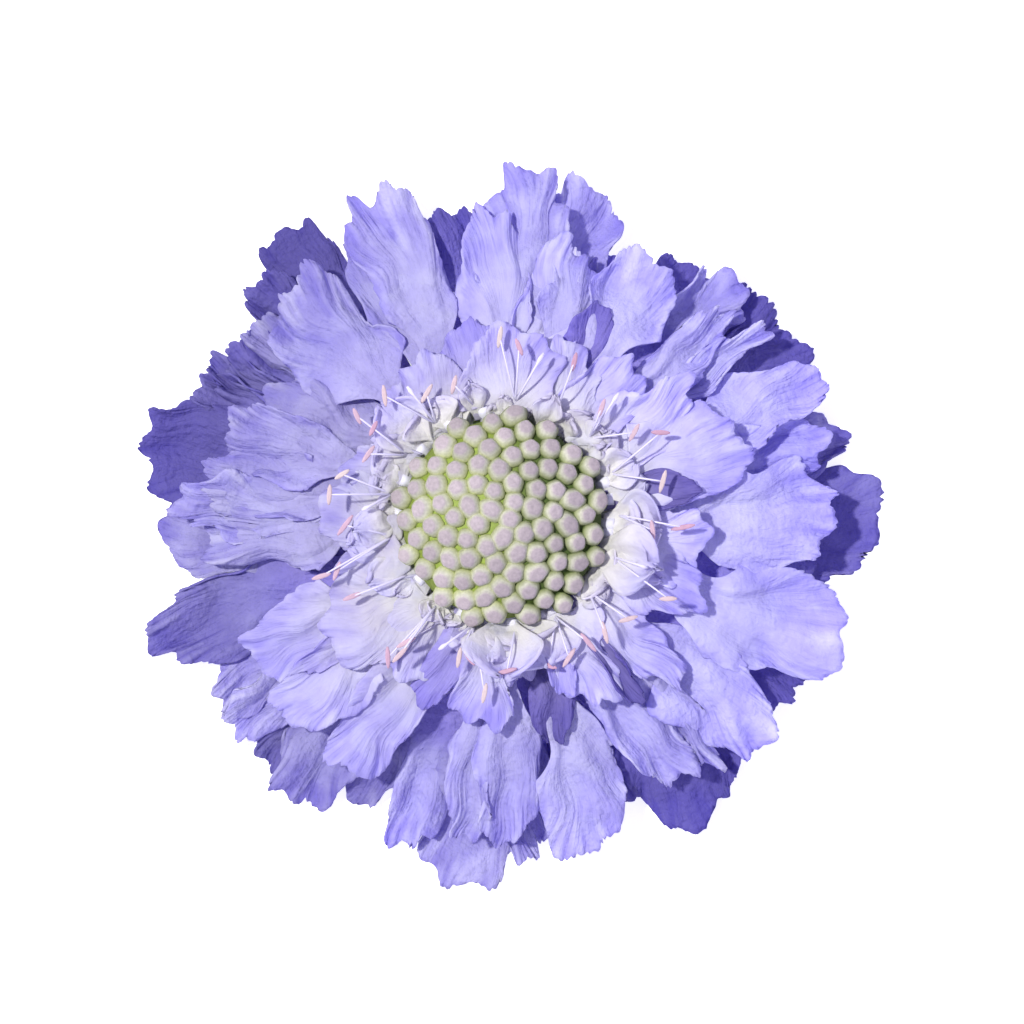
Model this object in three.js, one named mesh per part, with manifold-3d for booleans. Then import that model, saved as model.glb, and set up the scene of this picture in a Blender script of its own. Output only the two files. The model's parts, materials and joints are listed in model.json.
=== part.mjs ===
// A scabiosa (pincushion flower) with a short cut stem, lying face up on a flat surface.
// Millimetres, +Z up. The head looks straight up, three of its lowest petals rest on Z = 0,
// and the stem bends under the head and lies along the surface.
import * as THREE from "three";
import { mergeVertices } from "three/addons/utils/BufferGeometryUtils.js";
import Module from "manifold-3d";

// ---- Driving dimensions (mm, and degrees for directions) ----

const BLADE = 0.66; // thickness of a petal or bract
const GAP = 0.3; // clearance between two separate pieces
const HEAD_X = -0.7; // the head's axis, seen from the middle of the whole flower's box
const HEAD_Y = 1.45;
const HEAD_REACH = 37.8; // the longest petals, from the head's axis

const STEM_R = 1.2;
const STEM_BEND_R = 4.6; // centreline radius of the bend under the head
const STEM_END_X = 23; // how far along the surface the cut end lies from the head's axis
const STEM_DIRECTION = 339;
const STEM_LIFT = 0.1; // the stem just clears the surface, so that the petals carry the head

const RECEPTACLE_R = 8.4;
const RECEPTACLE_THICK = 1.5;
const BRACT_HALF_WIDTH = 1.7;
const BRACT_DROOP = 5.9;
const BRACT_KEEL = 0.3;

const RING_INNER_R = 9.1; // the ring of floret tubes that a whorl of petals grows from
const RING_OUTER_R = 10.4;
const RING_THICK = 1.4;
const CLAW_HALF_WIDTH = 1.0; // half the width of a petal where it leaves its ring

const DISC_NECK_R = 8.5; // the disc inside the rings
const DISC_EDGE_R = 10.1; // the disc where it spreads over them
const DISC_RISE = 2.6; // the dome's height over that edge
const BUDS = 88;
const BUD_R = 0.95;
const BUD_SIDES = 5;
const BUD_TALL = 1.15; // how far a bud stands out of the dome
const BUD_SUNK = 0.95;
const BUD_FIELD_R = 9.9; // the outermost buds' distance from the disc's middle

const STAMENS = 14;
const STAMEN_REACH = 16.5; // the anthers' distance from the head's axis, give or take 2
const STAMEN_RISE = 3; // how far they stand over the petals' rings, give or take 0.8
const FILAMENT_SIDE = 0.42;
const ANTHER = [2.1, 0.7, 0.6]; // length, width and thickness

// Heights that follow from those
const STEM_Z = STEM_R + STEM_LIFT;
const RECEPTACLE_Z = STEM_Z + STEM_BEND_R + 1.4;
const RING_Z = [0, 1, 2].map((k) => RECEPTACLE_Z + RECEPTACLE_THICK + GAP + k * (RING_THICK + GAP));
const RINGS_TOP = RING_Z[2] + RING_THICK;
const ROOT_R = (RING_INNER_R + RING_OUTER_R) / 2;
const DISC_EDGE_Z = RINGS_TOP + GAP + 0.7;

// ---- The petals ----
// Each row is one lobe: the direction it points in, how far it reaches from the head's axis, the half width
// of its fan, the fan's depth, how much it lies over (+) or under (-) its neighbours, how much farther its
// rim reaches on the left than in the middle, and how it tips to the side, in mm a mm.

const OUTER_LOBES = [
  [-1, 37.7, 6.2, 7.5, -0.2, 0, 0],
  [13.5, 34.8, 2.8, 5, 0.4, -0.4, 0],
  [29.5, 34.4, 4.8, 7, -0.3, -0.6, 0],
  [39.5, 34.3, 3.4, 6, -0.6, 0, 0],
  [43.5, 33.5, 3.5, 6, 1, 0, 0],
  [52, 31.8, 4.2, 7, -0.4, 0, 0],
  [75, 34, 3.8, 7, 0.4, 0.8, 0],
  [101.5, 31.9, 3.6, 7, 0, 0, 0],
  [128, 36.7, 4, 8, 0, 0, 0],
  [136.5, 35, 3, 6, -0.3, 0, 0],
  [142.5, 32.9, 1.8, 4, 0.5, 0, 0],
  [148, 31.9, 3, 6, 0.2, 0, 0],
  [153.5, 33.1, 2.7, 6, 0.4, 0, 0],
  [158, 34.2, 2.7, 6, -0.2, 0, 0],
  [168.5, 37.1, 5.8, 9, 0.3, 0, 0],
  [183, 34.6, 4.7, 7, 0.2, 0, 0],
  [199.3, 37.7, 4.6, 10, 0.3, 0, 0],
  [211.5, 34.1, 3.4, 6.5, -0.2, 0.3, 0],
  [217.5, 35.1, 3.2, 6.5, 0.4, 0, 0],
  [225, 34.8, 3, 6, -0.3, 0, 0],
  [234, 35.9, 3.6, 7, 0.5, 0, 0],
  [242, 32.1, 3, 6, -0.4, 0, 0],
  [252.5, 35.2, 3.2, 7, 0.4, 0, 0],
  [263.5, 37.7, 5.5, 8, 0, 0, 0],
  [273, 34.5, 2.8, 6, 0.3, 0, 0],
  [288, 32, 4, 7, 0, 0, 0],
  [303, 37.2, 5.8, 8.5, 0.2, 0.7, 0],
  [327.5, 34.6, 3.8, 7, 0, 0, 0],
  [346, 32.7, 4.2, 6.5, 0.2, 0, 0],
];

const MIDDLE_LOBES = [
  [-1, 33.3, 6.3, 8.5, 0.7, 0, 0],
  [13, 32.4, 2.8, 7, 0.2, 0, 0],
  [22.8, 35.2, 5.5, 9, 0.9, 0.5, 0],
  [36, 31.8, 2.2, 9, 0.3, 0, -0.2],
  [43.5, 30, 2.8, 8, 1.3, 0, 0],
  [61, 30.3, 5.4, 9, 1.6, 0, 0],
  [71.5, 26.8, 3.4, 8, 0.6, 0, 0],
  [79, 28.5, 3.6, 10, 0.8, 0, 0],
  [86, 35, 4.7, 9, 0.2, 0, 0],
  [93.5, 30.7, 3.7, 9, 1.2, 0, 0],
  [112.5, 35.9, 4.6, 11, 1.2, 0, 0],
  [119.5, 33, 3.2, 8, 0.5, 0, 0],
  [133.5, 32.4, 6.2, 11, 1, 0, 0],
  [151, 26, 4.6, 8, 0.3, 0, 0],
  [162, 30, 4, 8, 0.7, 0, 0],
  [171, 31.8, 3.8, 8, 0.2, 0, 0],
  [178, 33.4, 3.2, 7, 0.6, 0, 0],
  [186.5, 31, 4.2, 9, 0.4, 0, 0],
  [209.5, 30.6, 5.4, 11, 0.4, 0, 0],
  [221, 30.2, 5.4, 10, 1.2, 0, 0],
  [239.5, 29.9, 5.8, 12, 0.9, 0, 0],
  [253.5, 33, 3.4, 8, -0.6, 0, 0],
  [261.5, 33.2, 4.6, 9, 0.2, 0, 0],
  [272, 31, 4, 8, 0.8, 0, 0],
  [284, 35.3, 5.7, 11, 0.6, 0, 0],
  [301.5, 31.2, 4.8, 9, 0.3, 1.5, 0],
  [310.5, 33.4, 3, 9, 0.8, 0, 0],
  [319.5, 34.9, 4.9, 10, 0.4, 0, 0],
  [339.5, 37.1, 5.8, 9, 1.2, 0, 0],
];

const INNER_LOBES = [
  [2, 14.8, 2.4, 3.5, 0, 0, 0],
  [17, 25.3, 5.4, 9, 0.6, 0, 0],
  [34, 22.5, 3.2, 8, 0.2, 0, 0],
  [50, 20, 3.4, 7, 0.4, 0, 0],
  [66, 18.2, 4, 7, 0.4, 0, 0],
  [84, 18.4, 4.8, 7, 0.8, 0, 0],
  [101.5, 19.5, 3.4, 6, 0, 0, 0],
  [121, 16.6, 3.6, 5.5, 0.4, 0, 0],
  [142, 16, 3.4, 5, 0, 0, 0],
  [161, 16.4, 3, 5, 0.4, 0, 0],
  [179, 18.2, 4, 6, 0, 0, 0],
  [199, 17, 3, 5.5, 0.4, 0, 0],
  [217, 21.2, 4.4, 8, 0, 0, 0],
  [234, 19.6, 3.6, 7, 0.5, 0, 0],
  [263, 21.4, 3, 7, 0.2, 0, 0],
  [278, 17.2, 3.6, 6, 0.6, 0, 0],
  [301, 21.4, 3.4, 8, 0, 0, 0],
  [315.5, 25, 3, 9, -0.1, 0, 0],
  [336, 21.4, 3.8, 8, 0.5, 0, 0],
  [351, 18, 3.4, 5, 0.2, 0, 0],
];

// Each whorl: its ring's underside, how its lobes first rise and then droop by the head's full reach,
// and how deep their folds are at the rim.
const OUTER = { lobes: OUTER_LOBES, ringZ: RING_Z[0], rise: 0, droop: 8.3, fold: 0.8, seed: 100 };
const MIDDLE = { lobes: MIDDLE_LOBES, ringZ: RING_Z[1], rise: 1.2, droop: 7.2, fold: 0.7, seed: 200 };
const INNER = { lobes: INNER_LOBES, ringZ: RING_Z[2], rise: 3, droop: 5, fold: 0.5, seed: 300 };

// Seen from above, a lobe is a narrow neck that opens into a round fan.
const BLUNT = 0.86; // 1 for an oval fan, lower for a squarer one
const FAN_SWEEP = 104; // from the fan's tip round to each end of its rim
const NECK_AT = 0.4; // where the neck ends, as a share of the way from the root to the fan's middle
const NECK_ROWS = 0.15; // the share of a lobe's rows that the neck takes
const NECK_LEAST = 0.5; // the neck's half width is this
const NECK_SHARE = 0.26; // and this share of the fan's own
const KNEE_AT = 0.8; // where the lines across the fan bend, as a share of the way from the neck to the rim
const KNEE_SPREAD = 1.7; // how far apart they are there, with the neck as 1
const FAN_MOST = 0.75; // the deepest fan, as a share of its lobe's length
const LONG_WAVE = 0.05; // the rim's waves, as shares of the fan's size
const SHORT_WAVE = 0.05;
const WAVE_KEPT = 0.75; // how much of the long wave the fan's own size gives way to
const BEND = 1.4; // how much a lobe's tip may stand up or hang down from its whorl's own curve
const COLUMN_WIDTH = 6; // of one facet along a lobe's rim

const RESTING = [-1, 128, 263.5]; // the outer lobes that touch the surface, by their direction
const SAG_FROM = 0.55; // they sag to it from this share of their length
const REST_FROM = 0.84; // and lie flat on it past this one
const OTHERS_CLEAR = 0.5; // the other lobes' height over the surface

// The bracts: direction and reach.
const BRACTS = [
  [349, 22.5],
  [22, 25.4],
  [52, 27],
  [81, 25.8],
  [110, 26.2],
  [138, 26.8],
  [165, 25.6],
  [193, 28.4],
  [226, 27.4],
  [256, 26],
  [287, 26.8],
  [317, 25.4],
];

const COLOURS = {
  stem: 0x7d9a52,
  involucre: 0x6f9148,
  ray_florets_outer: 0x6a5fc4,
  ray_florets_middle: 0xa9a3ea,
  ray_florets_inner: 0xdcdcf5,
  disc_buds: 0xb9ae9f,
};

// ---- Solids ----

const wasm = await Module();
wasm.setup();

const UP = new THREE.Vector3(0, 0, 1);
const radians = THREE.MathUtils.degToRad;
const smooth = (x) => THREE.MathUtils.smoothstep(x, 0, 1);

// The nth draw of a fixed sequence, from 0 to 1.
function draw(n) {
  const x = Math.sin(n * 12.9898) * 43758.5453;
  return x - Math.floor(x);
}

function solidFrom(positions, triangles) {
  return new wasm.Manifold(
    new wasm.Mesh({
      numProp: 3,
      vertProperties: new Float32Array(positions),
      triVerts: new Uint32Array(triangles),
    }),
  );
}

function solidOf(geometry) {
  geometry.deleteAttribute("normal");
  geometry.deleteAttribute("uv");
  const merged = mergeVertices(geometry, 1e-4);
  return solidFrom(merged.attributes.position.array, merged.index.array);
}

// All the solids as one body: a hollow that joining them seals is filled, and a loose scrap is dropped.
function fuse(solids) {
  const joined = solids.reduce((sum, next) => sum.add(next));
  const bodies = joined.decompose().sort((a, b) => b.volume() - a.volume());
  return bodies[0];
}

function meshOf(name, solid) {
  const { numProp, numVert, vertProperties, triVerts } = solid.getMesh();
  const positions = new Float32Array(numVert * 3);
  for (let i = 0; i < numVert; i++) {
    positions.set(vertProperties.subarray(i * numProp, i * numProp + 3), i * 3);
  }
  const geometry = new THREE.BufferGeometry();
  geometry.setAttribute("position", new THREE.BufferAttribute(positions, 3));
  geometry.setIndex(new THREE.BufferAttribute(triVerts, 1));
  geometry.computeVertexNormals();
  const material = new THREE.MeshStandardMaterial({ color: COLOURS[name], roughness: 0.7, metalness: 0 });
  const mesh = new THREE.Mesh(geometry, material);
  mesh.name = name;
  return mesh;
}

// A closed ring or body of revolution about the head's axis. The profile is [radius, z] pairs.
function turned(profile, segments) {
  const points = profile.map(([r, z]) => new THREE.Vector2(r, z));
  const geometry = new THREE.LatheGeometry(points, segments);
  geometry.rotateX(Math.PI / 2);
  return solidOf(geometry);
}

// The unit normal of a grid of points at row i and column j.
function gridNormal(grid, i, j) {
  const along = grid[Math.min(i + 1, grid.length - 1)][j].clone().sub(grid[Math.max(i - 1, 0)][j]);
  const row = grid[i];
  const across = row[Math.min(j + 1, row.length - 1)].clone().sub(row[Math.max(j - 1, 0)]);
  return along.cross(across).normalize();
}

// A thin closed blade about a grid of points, split into triangles alike on both faces.
// No part of it lies under the height floor.
function bladeSolid(grid, floor = -Infinity) {
  const rows = grid.length;
  const columns = grid[0].length;
  const half = grid.length * columns;
  const positions = [];
  for (const side of [1, -1]) {
    for (let i = 0; i < rows; i++) {
      for (let j = 0; j < columns; j++) {
        const point = grid[i][j].clone().addScaledVector(gridNormal(grid, i, j), (side * BLADE) / 2);
        const lowest = side > 0 ? floor + BLADE : floor;
        positions.push(point.x, point.y, Math.max(point.z, lowest));
      }
    }
  }
  const triangles = [];
  const quad = (a, b, c, d) => triangles.push(a, b, c, a, c, d);
  for (let i = 0; i < rows - 1; i++) {
    for (let j = 0; j < columns - 1; j++) {
      const a = i * columns + j;
      const b = a + columns;
      quad(a, b, b + 1, a + 1);
      triangles.push(half + a, half + b + 1, half + b, half + a, half + a + 1, half + b + 1);
    }
  }
  for (let i = 0; i < rows - 1; i++) {
    const left = i * columns;
    const right = left + columns - 1;
    quad(left, half + left, half + left + columns, left + columns);
    quad(right, right + columns, half + right + columns, half + right);
  }
  for (let j = 0; j < columns - 1; j++) {
    const tip = (rows - 1) * columns + j;
    quad(j, j + 1, half + j + 1, half + j);
    quad(tip, half + tip, half + tip + 1, tip + 1);
  }
  return solidFrom(positions, triangles);
}

// A lobe's half width and its fan's depth. The fan of a short lobe starts past its claw.
function fanOf([, reach, half, deep]) {
  return [half, Math.min(FAN_MOST * (reach - ROOT_R), deep)];
}

// Pushes a sine or cosine outwards, so that a fan's oval becomes squarer.
const blunt = (x) => Math.sign(x) * Math.abs(x) ** BLUNT;

// Where u along and v across a lobe that points along +X lies, seen from above. Each line of equal v leaves
// the neck beside the others and bends out to its own place on the fan's rim.
function planPoint(lobe, own, u, v) {
  const [half, deep] = fanOf(lobe);
  const middle = lobe[1] - deep;
  const long = LONG_WAVE * Math.cos(v * Math.PI * (1.6 + own(0)) + 6 * own(5));
  const short = SHORT_WAVE * Math.cos(v * 17 + 6 * own(6));
  const size = 1 + long + short - WAVE_KEPT * LONG_WAVE;
  const turn = v * radians(FAN_SWEEP);
  const ahead = middle + deep * size * blunt(Math.cos(turn)) + lobe[5] * Math.sin(turn);
  const rim = new THREE.Vector2(ahead, half * size * blunt(Math.sin(turn)));
  const neckHalf = NECK_LEAST + NECK_SHARE * half;
  const neck = new THREE.Vector2(THREE.MathUtils.lerp(ROOT_R, middle, NECK_AT), v * neckHalf);
  const kneeX = THREE.MathUtils.lerp(neck.x, Math.min(rim.x, middle), KNEE_AT);
  const knee = new THREE.Vector2(kneeX, KNEE_SPREAD * neck.y);
  if (u < NECK_ROWS) {
    return new THREE.Vector2(ROOT_R, v * CLAW_HALF_WIDTH).lerp(neck, u / NECK_ROWS);
  }
  return new THREE.QuadraticBezierCurve(neck, knee, rim).getPoint((u - NECK_ROWS) / (1 - NECK_ROWS));
}

// A point of a lobe's middle surface: u runs from its claw (0) to its rim (1), v across it from -1 to 1.
// own(k) is the lobe's own kth draw.
function lobePoint(whorl, lobe, own, u, v) {
  const [direction, reach, , , lift, , roll] = lobe;
  const length = reach - ROOT_R;
  const { x, y } = planPoint(lobe, own, u, v);
  const far = Math.hypot(x - ROOT_R, y);
  const s = far / (HEAD_REACH - ROOT_R);
  const free = smooth(s / 0.5);
  const slope = whorl.rise * s - whorl.droop * smooth(s);
  const deep = whorl.fold * Math.min(1, length / 18);
  const folds = deep * Math.sin(v * Math.PI * (1.5 + own(1)) + 2 * Math.PI * own(2));
  const cup = (own(3) - 0.5) * v * v * u;
  const bend = BEND * (own(4) - 0.5) * free;
  let z = whorl.ringZ + RING_THICK / 2 + slope + (lift + roll * y) * free + cup + (folds + bend) * u * u;
  if (restsOnSurface(whorl, lobe)) {
    z = THREE.MathUtils.lerp(z, 0, smooth((far / length - SAG_FROM) / (REST_FROM - SAG_FROM)));
  }
  return new THREE.Vector3(x, y, z).applyAxisAngle(UP, radians(direction));
}

function restsOnSurface(whorl, lobe) {
  return whorl.lobes === OUTER_LOBES && RESTING.includes(lobe[0]);
}

function lobeSolid(whorl, lobe, number) {
  const [half, deep] = fanOf(lobe);
  const own = (k) => draw(whorl.seed + 7 * number + k);
  const columns = THREE.MathUtils.clamp(Math.round((half + deep) * radians(FAN_SWEEP) / COLUMN_WIDTH), 3, 5);
  const rests = restsOnSurface(whorl, lobe);
  const rows = [0, NECK_ROWS, ...(rests ? [0.5, REST_FROM, 1] : [0.6, 1])];
  const grid = rows.map((u) => {
    const row = [];
    for (let j = 0; j <= columns; j++) {
      row.push(lobePoint(whorl, lobe, own, u, (2 * j) / columns - 1));
    }
    return row;
  });
  return bladeSolid(grid, rests ? 0 : OTHERS_CLEAR);
}

function ringSolid(bottom) {
  const top = bottom + RING_THICK;
  const profile = [
    [RING_INNER_R, bottom],
    [RING_OUTER_R, bottom],
    [RING_OUTER_R, top],
    [RING_INNER_R, top],
    [RING_INNER_R, bottom],
  ];
  return turned(profile, 24);
}

function whorlSolid(whorl, extras = []) {
  const lobes = whorl.lobes.map((lobe, number) => lobeSolid(whorl, lobe, number));
  return fuse([ringSolid(whorl.ringZ), ...lobes, ...extras]);
}

// One stamen: a slim filament that arches up and out of its floret, and an anther across its end.
function stamenSolids(number) {
  const direction = radians((360 / STAMENS) * number + 10 * draw(number + 400));
  const end = STAMEN_REACH + 2 * (2 * draw(number + 430) - 1);
  const top = RINGS_TOP + STAMEN_RISE + 0.8 * (2 * draw(number + 460) - 1);
  const path = new THREE.QuadraticBezierCurve3(
    new THREE.Vector3(ROOT_R + 0.6, 0, RINGS_TOP - 0.6),
    new THREE.Vector3(ROOT_R + 3, 0, top),
    new THREE.Vector3(end, 0, top),
  );
  const side = FILAMENT_SIDE / 2;
  const section = new THREE.Shape([
    new THREE.Vector2(-side, -side),
    new THREE.Vector2(side, -side),
    new THREE.Vector2(0, side),
  ]);
  const filament = new THREE.ExtrudeGeometry(section, { extrudePath: path, steps: 3 });
  const anther = new THREE.BoxGeometry(...ANTHER);
  anther.rotateZ(Math.PI * draw(number + 490));
  anther.translate(end, 0, top);
  return [filament, anther].map((geometry) => {
    geometry.rotateZ(direction);
    return solidOf(geometry);
  });
}

// The height of the disc's dome at a distance from its axis, and how steeply it falls away there.
const domeZ = (r) => DISC_EDGE_Z + DISC_RISE * (1 - (r / DISC_EDGE_R) ** 2);
const domeSlope = (r) => Math.atan2(2 * DISC_RISE * r, DISC_EDGE_R ** 2);

// A closed floret: a five-sided bud with its foot in the dome. It leans out a little more than the dome does.
function budSolid(number) {
  const r = BUD_FIELD_R * Math.sqrt((number + 0.5) / BUDS);
  const angle = number * Math.PI * (3 - Math.sqrt(5));
  const positions = [0, 0, -BUD_SUNK, 0, 0, BUD_TALL];
  const triangles = [];
  for (let i = 0; i < BUD_SIDES; i++) {
    const turn = (2 * Math.PI * i) / BUD_SIDES + 6 * draw(number + 500);
    positions.push(BUD_R * Math.cos(turn), BUD_R * Math.sin(turn), BUD_TALL / 2);
    const here = 2 + i;
    const next = 2 + ((i + 1) % BUD_SIDES);
    triangles.push(0, next, here, 1, here, next);
  }
  const place = new THREE.Matrix4()
    .makeRotationZ(angle)
    .multiply(new THREE.Matrix4().makeTranslation(r, 0, domeZ(r)))
    .multiply(new THREE.Matrix4().makeRotationY(1.4 * domeSlope(r)));
  const geometry = new THREE.BufferGeometry();
  geometry.setAttribute("position", new THREE.Float32BufferAttribute(positions, 3));
  geometry.applyMatrix4(place);
  return solidFrom(geometry.attributes.position.array, triangles);
}

function discSolid() {
  const foot = RING_Z[0];
  const profile = [
    [0, foot],
    [DISC_NECK_R, foot],
    [DISC_NECK_R, RINGS_TOP + GAP],
    [DISC_EDGE_R, DISC_EDGE_Z],
    [0.6 * DISC_EDGE_R, domeZ(0.6 * DISC_EDGE_R)],
    [0, domeZ(0)],
  ];
  const buds = [];
  for (let number = 0; number < BUDS; number++) {
    buds.push(budSolid(number));
  }
  return fuse([turned(profile, 14), ...buds]);
}

// A narrow pointed bract under the petals, keeled along its middle.
function bractSolid([direction, reach]) {
  const start = RECEPTACLE_R - 2;
  const grid = [0, 0.3, 0.6, 0.85, 1].map((u) => {
    const half = BRACT_HALF_WIDTH * (0.75 + 0.9 * u) * (1 - u ** 3) + 0.25;
    const z = RECEPTACLE_Z + 0.6 - BRACT_DROOP * u * u;
    return [-1, 0, 1].map((v) => {
      const point = new THREE.Vector3(start + (reach - start) * u, v * half, z - BRACT_KEEL * (1 - v * v));
      return point.applyAxisAngle(UP, radians(direction));
    });
  });
  return bladeSolid(grid);
}

function involucreSolid() {
  const top = RECEPTACLE_Z + RECEPTACLE_THICK;
  const profile = [
    [0, RECEPTACLE_Z],
    [STEM_R + 1.2, RECEPTACLE_Z],
    [RECEPTACLE_R, RECEPTACLE_Z + 0.6],
    [RECEPTACLE_R, top],
    [0, top],
  ];
  return fuse([turned(profile, 18), ...BRACTS.map(bractSolid)]);
}

// The stem leaves the receptacle straight down, turns through a right angle and lies along the surface.
function stemSolid() {
  const path = new THREE.CurvePath();
  const top = new THREE.Vector3(0, 0, RECEPTACLE_Z - GAP);
  const bendTop = new THREE.Vector3(0, 0, STEM_Z + STEM_BEND_R);
  path.add(new THREE.LineCurve3(top, bendTop));
  path.add(
    new THREE.CubicBezierCurve3(
      bendTop,
      new THREE.Vector3(0, 0, STEM_Z + 0.45 * STEM_BEND_R),
      new THREE.Vector3(0.45 * STEM_BEND_R, 0, STEM_Z),
      new THREE.Vector3(STEM_BEND_R, 0, STEM_Z),
    ),
  );
  path.add(
    new THREE.LineCurve3(new THREE.Vector3(STEM_BEND_R, 0, STEM_Z), new THREE.Vector3(STEM_END_X, 0, STEM_Z)),
  );
  const corners = [];
  for (let i = 0; i < 10; i++) {
    corners.push(new THREE.Vector2(STEM_R, 0).rotateAround(new THREE.Vector2(), (Math.PI * i) / 5));
  }
  const geometry = new THREE.ExtrudeGeometry(new THREE.Shape(corners), { extrudePath: path, steps: 24 });
  geometry.rotateZ(radians(STEM_DIRECTION));
  return solidOf(geometry);
}

const stamens = [];
for (let number = 0; number < STAMENS; number++) {
  stamens.push(...stamenSolids(number));
}

const flower = new THREE.Group();
flower.add(meshOf("stem", stemSolid()));
flower.add(meshOf("involucre", involucreSolid()));
flower.add(meshOf("ray_florets_outer", whorlSolid(OUTER)));
flower.add(meshOf("ray_florets_middle", whorlSolid(MIDDLE)));
flower.add(meshOf("ray_florets_inner", whorlSolid(INNER, stamens)));
flower.add(meshOf("disc_buds", discSolid()));
flower.position.set(HEAD_X, HEAD_Y, 0);

export default flower;
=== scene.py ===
# %% [markdown]
# # A scabiosa flower in Blender
#
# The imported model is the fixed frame: plain solids at their real size. This script dresses them. It
# loads the frame, sets up a camera, a floor and light, and then makes the flower's own pieces one
# step at a time, from the stem under the head to the stamens on top.

# %% Load the frame
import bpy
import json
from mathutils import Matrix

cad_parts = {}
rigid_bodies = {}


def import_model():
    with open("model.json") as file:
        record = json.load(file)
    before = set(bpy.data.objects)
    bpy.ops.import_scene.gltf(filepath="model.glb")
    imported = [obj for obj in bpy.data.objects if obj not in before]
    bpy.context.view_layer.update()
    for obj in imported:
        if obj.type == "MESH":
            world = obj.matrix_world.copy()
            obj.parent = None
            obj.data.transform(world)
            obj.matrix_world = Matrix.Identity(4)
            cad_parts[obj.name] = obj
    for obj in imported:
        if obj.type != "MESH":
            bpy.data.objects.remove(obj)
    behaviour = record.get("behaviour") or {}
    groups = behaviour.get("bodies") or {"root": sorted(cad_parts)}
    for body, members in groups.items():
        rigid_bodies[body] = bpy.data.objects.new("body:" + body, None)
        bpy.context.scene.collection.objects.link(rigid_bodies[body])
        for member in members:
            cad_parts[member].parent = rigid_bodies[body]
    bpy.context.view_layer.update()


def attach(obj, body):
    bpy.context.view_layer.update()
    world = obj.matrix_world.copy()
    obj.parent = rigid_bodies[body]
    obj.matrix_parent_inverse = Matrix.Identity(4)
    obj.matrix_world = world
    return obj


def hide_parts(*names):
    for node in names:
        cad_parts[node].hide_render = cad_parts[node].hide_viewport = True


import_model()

# %% [markdown]
# ## Units and fixed draws
#
# A flower is easiest to think of in millimetres about the axis of its head, so every shape is made
# that way and scaled once, at the end, into the frame's metres. No two petals are alike, but the
# result must be the same on each run. Python's random module would do with a seed. A sine with a
# large factor is chosen instead, because the nth draw then never depends on the draws before it.

# %% Units and draws
import math

import bmesh
import bpy
from mathutils import Matrix, Vector, noise

MM = 0.001
HEAD_X = -0.7  # the head's axis in the frame, mm
HEAD_Y = 1.45


def draw(n):
    """The nth draw of a fixed sequence, from 0 to 1."""
    x = math.sin(n * 12.9898) * 43758.5453
    return x - math.floor(x)


def smooth(x):
    """0 up to x = 0, 1 from x = 1, and an even S between them."""
    x = min(1.0, max(0.0, x))
    return x * x * (3 - 2 * x)


def lerp(a, b, share):
    return a + (b - a) * share


def ripple(x, y, z):
    """Blender's gradient noise at a point, about -1 to 1."""
    return noise.noise(Vector((x, y, z)))


def crease(x, y, z):
    """Noise with sharp ridges where gradient noise crosses zero, about -0.5 to 0.5."""
    return 0.5 - 2 * abs(ripple(x, y, z))


TO_FRAME = Matrix.Translation((HEAD_X * MM, HEAD_Y * MM, 0)) @ Matrix.Scale(MM, 4)

# %% [markdown]
# ## Finishing a piece
#
# A bmesh is Blender's mesh workbench: operators add and shape geometry, and the result is written to
# a mesh at the end. Every piece ends the same way, so one function does it: it scales the bmesh into
# the frame, smooths its shading, gives it its materials, which are its finish, puts it on the body it
# rides on and hides the plain solids that it stands for.

# %% Finish a piece


def finish_piece(bm, name, materials, nodes=()):
    """Writes a bmesh made in mm about the head's axis to a named piece of the flower."""
    bmesh.ops.transform(bm, matrix=TO_FRAME, verts=bm.verts)
    mesh = bpy.data.meshes.new(name)
    bm.to_mesh(mesh)
    bm.free()
    for material in materials:
        mesh.materials.append(material)
    mesh.polygons.foreach_set("use_smooth", [True] * len(mesh.polygons))
    piece = bpy.data.objects.new(name, mesh)
    bpy.context.scene.collection.objects.link(piece)
    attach(piece, "root")
    if nodes:
        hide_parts(*nodes)
    print(name, len(mesh.polygons), "faces before modifiers")
    return piece


# %% [markdown]
# ## Small helpers for materials
#
# A material is a tree of nodes. Written out in full, each node takes four or five lines, so a few
# helpers keep the recipes short. One adds a node with its settings and its inputs, which may be plain
# values or other nodes' outputs, and the rest use it for sums, ranges, mixes, ramps and bumps.

# %% Node helpers


def set_inputs(node, inputs):
    """Sets a node's inputs, {name or number: value}, or links them where the value is an output."""
    for name, value in inputs.items():
        if isinstance(value, bpy.types.NodeSocket):
            node.id_data.links.new(value, node.inputs[name])
        else:
            node.inputs[name].default_value = value


def add(tree, kind, inputs=None, **settings):
    """Adds a shader node with its settings and inputs."""
    made = tree.nodes.new("ShaderNode" + kind)
    for name, value in settings.items():
        setattr(made, name, value)
    set_inputs(made, inputs or {})
    return made


def maths(tree, operation, *values):
    """The output of one sum."""
    return add(tree, "Math", dict(enumerate(values)), operation=operation).outputs[0]


def remap(tree, value, low, high, to_low=0.0, to_high=1.0, steps="LINEAR"):
    """A number that goes from to_low to to_high while value goes from low to high."""
    ends = {"From Min": low, "From Max": high, "To Min": to_low, "To Max": to_high}
    return add(tree, "MapRange", {"Value": value, **ends}, interpolation_type=steps).outputs["Result"]


def mix_colours(tree, share, a, b, how="MIX"):
    """A mix of two colours: a at share 0, b at share 1."""
    return add(tree, "Mix", {0: share, 6: a, 7: b}, data_type="RGBA", blend_type=how).outputs[2]


def tinted(tree, colour, tint):
    """A colour seen through a tint."""
    return mix_colours(tree, 1.0, colour, tint, "MULTIPLY")


def times(tree, colour, factor):
    """A colour made lighter or darker by a factor."""
    return add(tree, "VectorMath", {0: colour, "Scale": factor}, operation="SCALE").outputs["Vector"]


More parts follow.
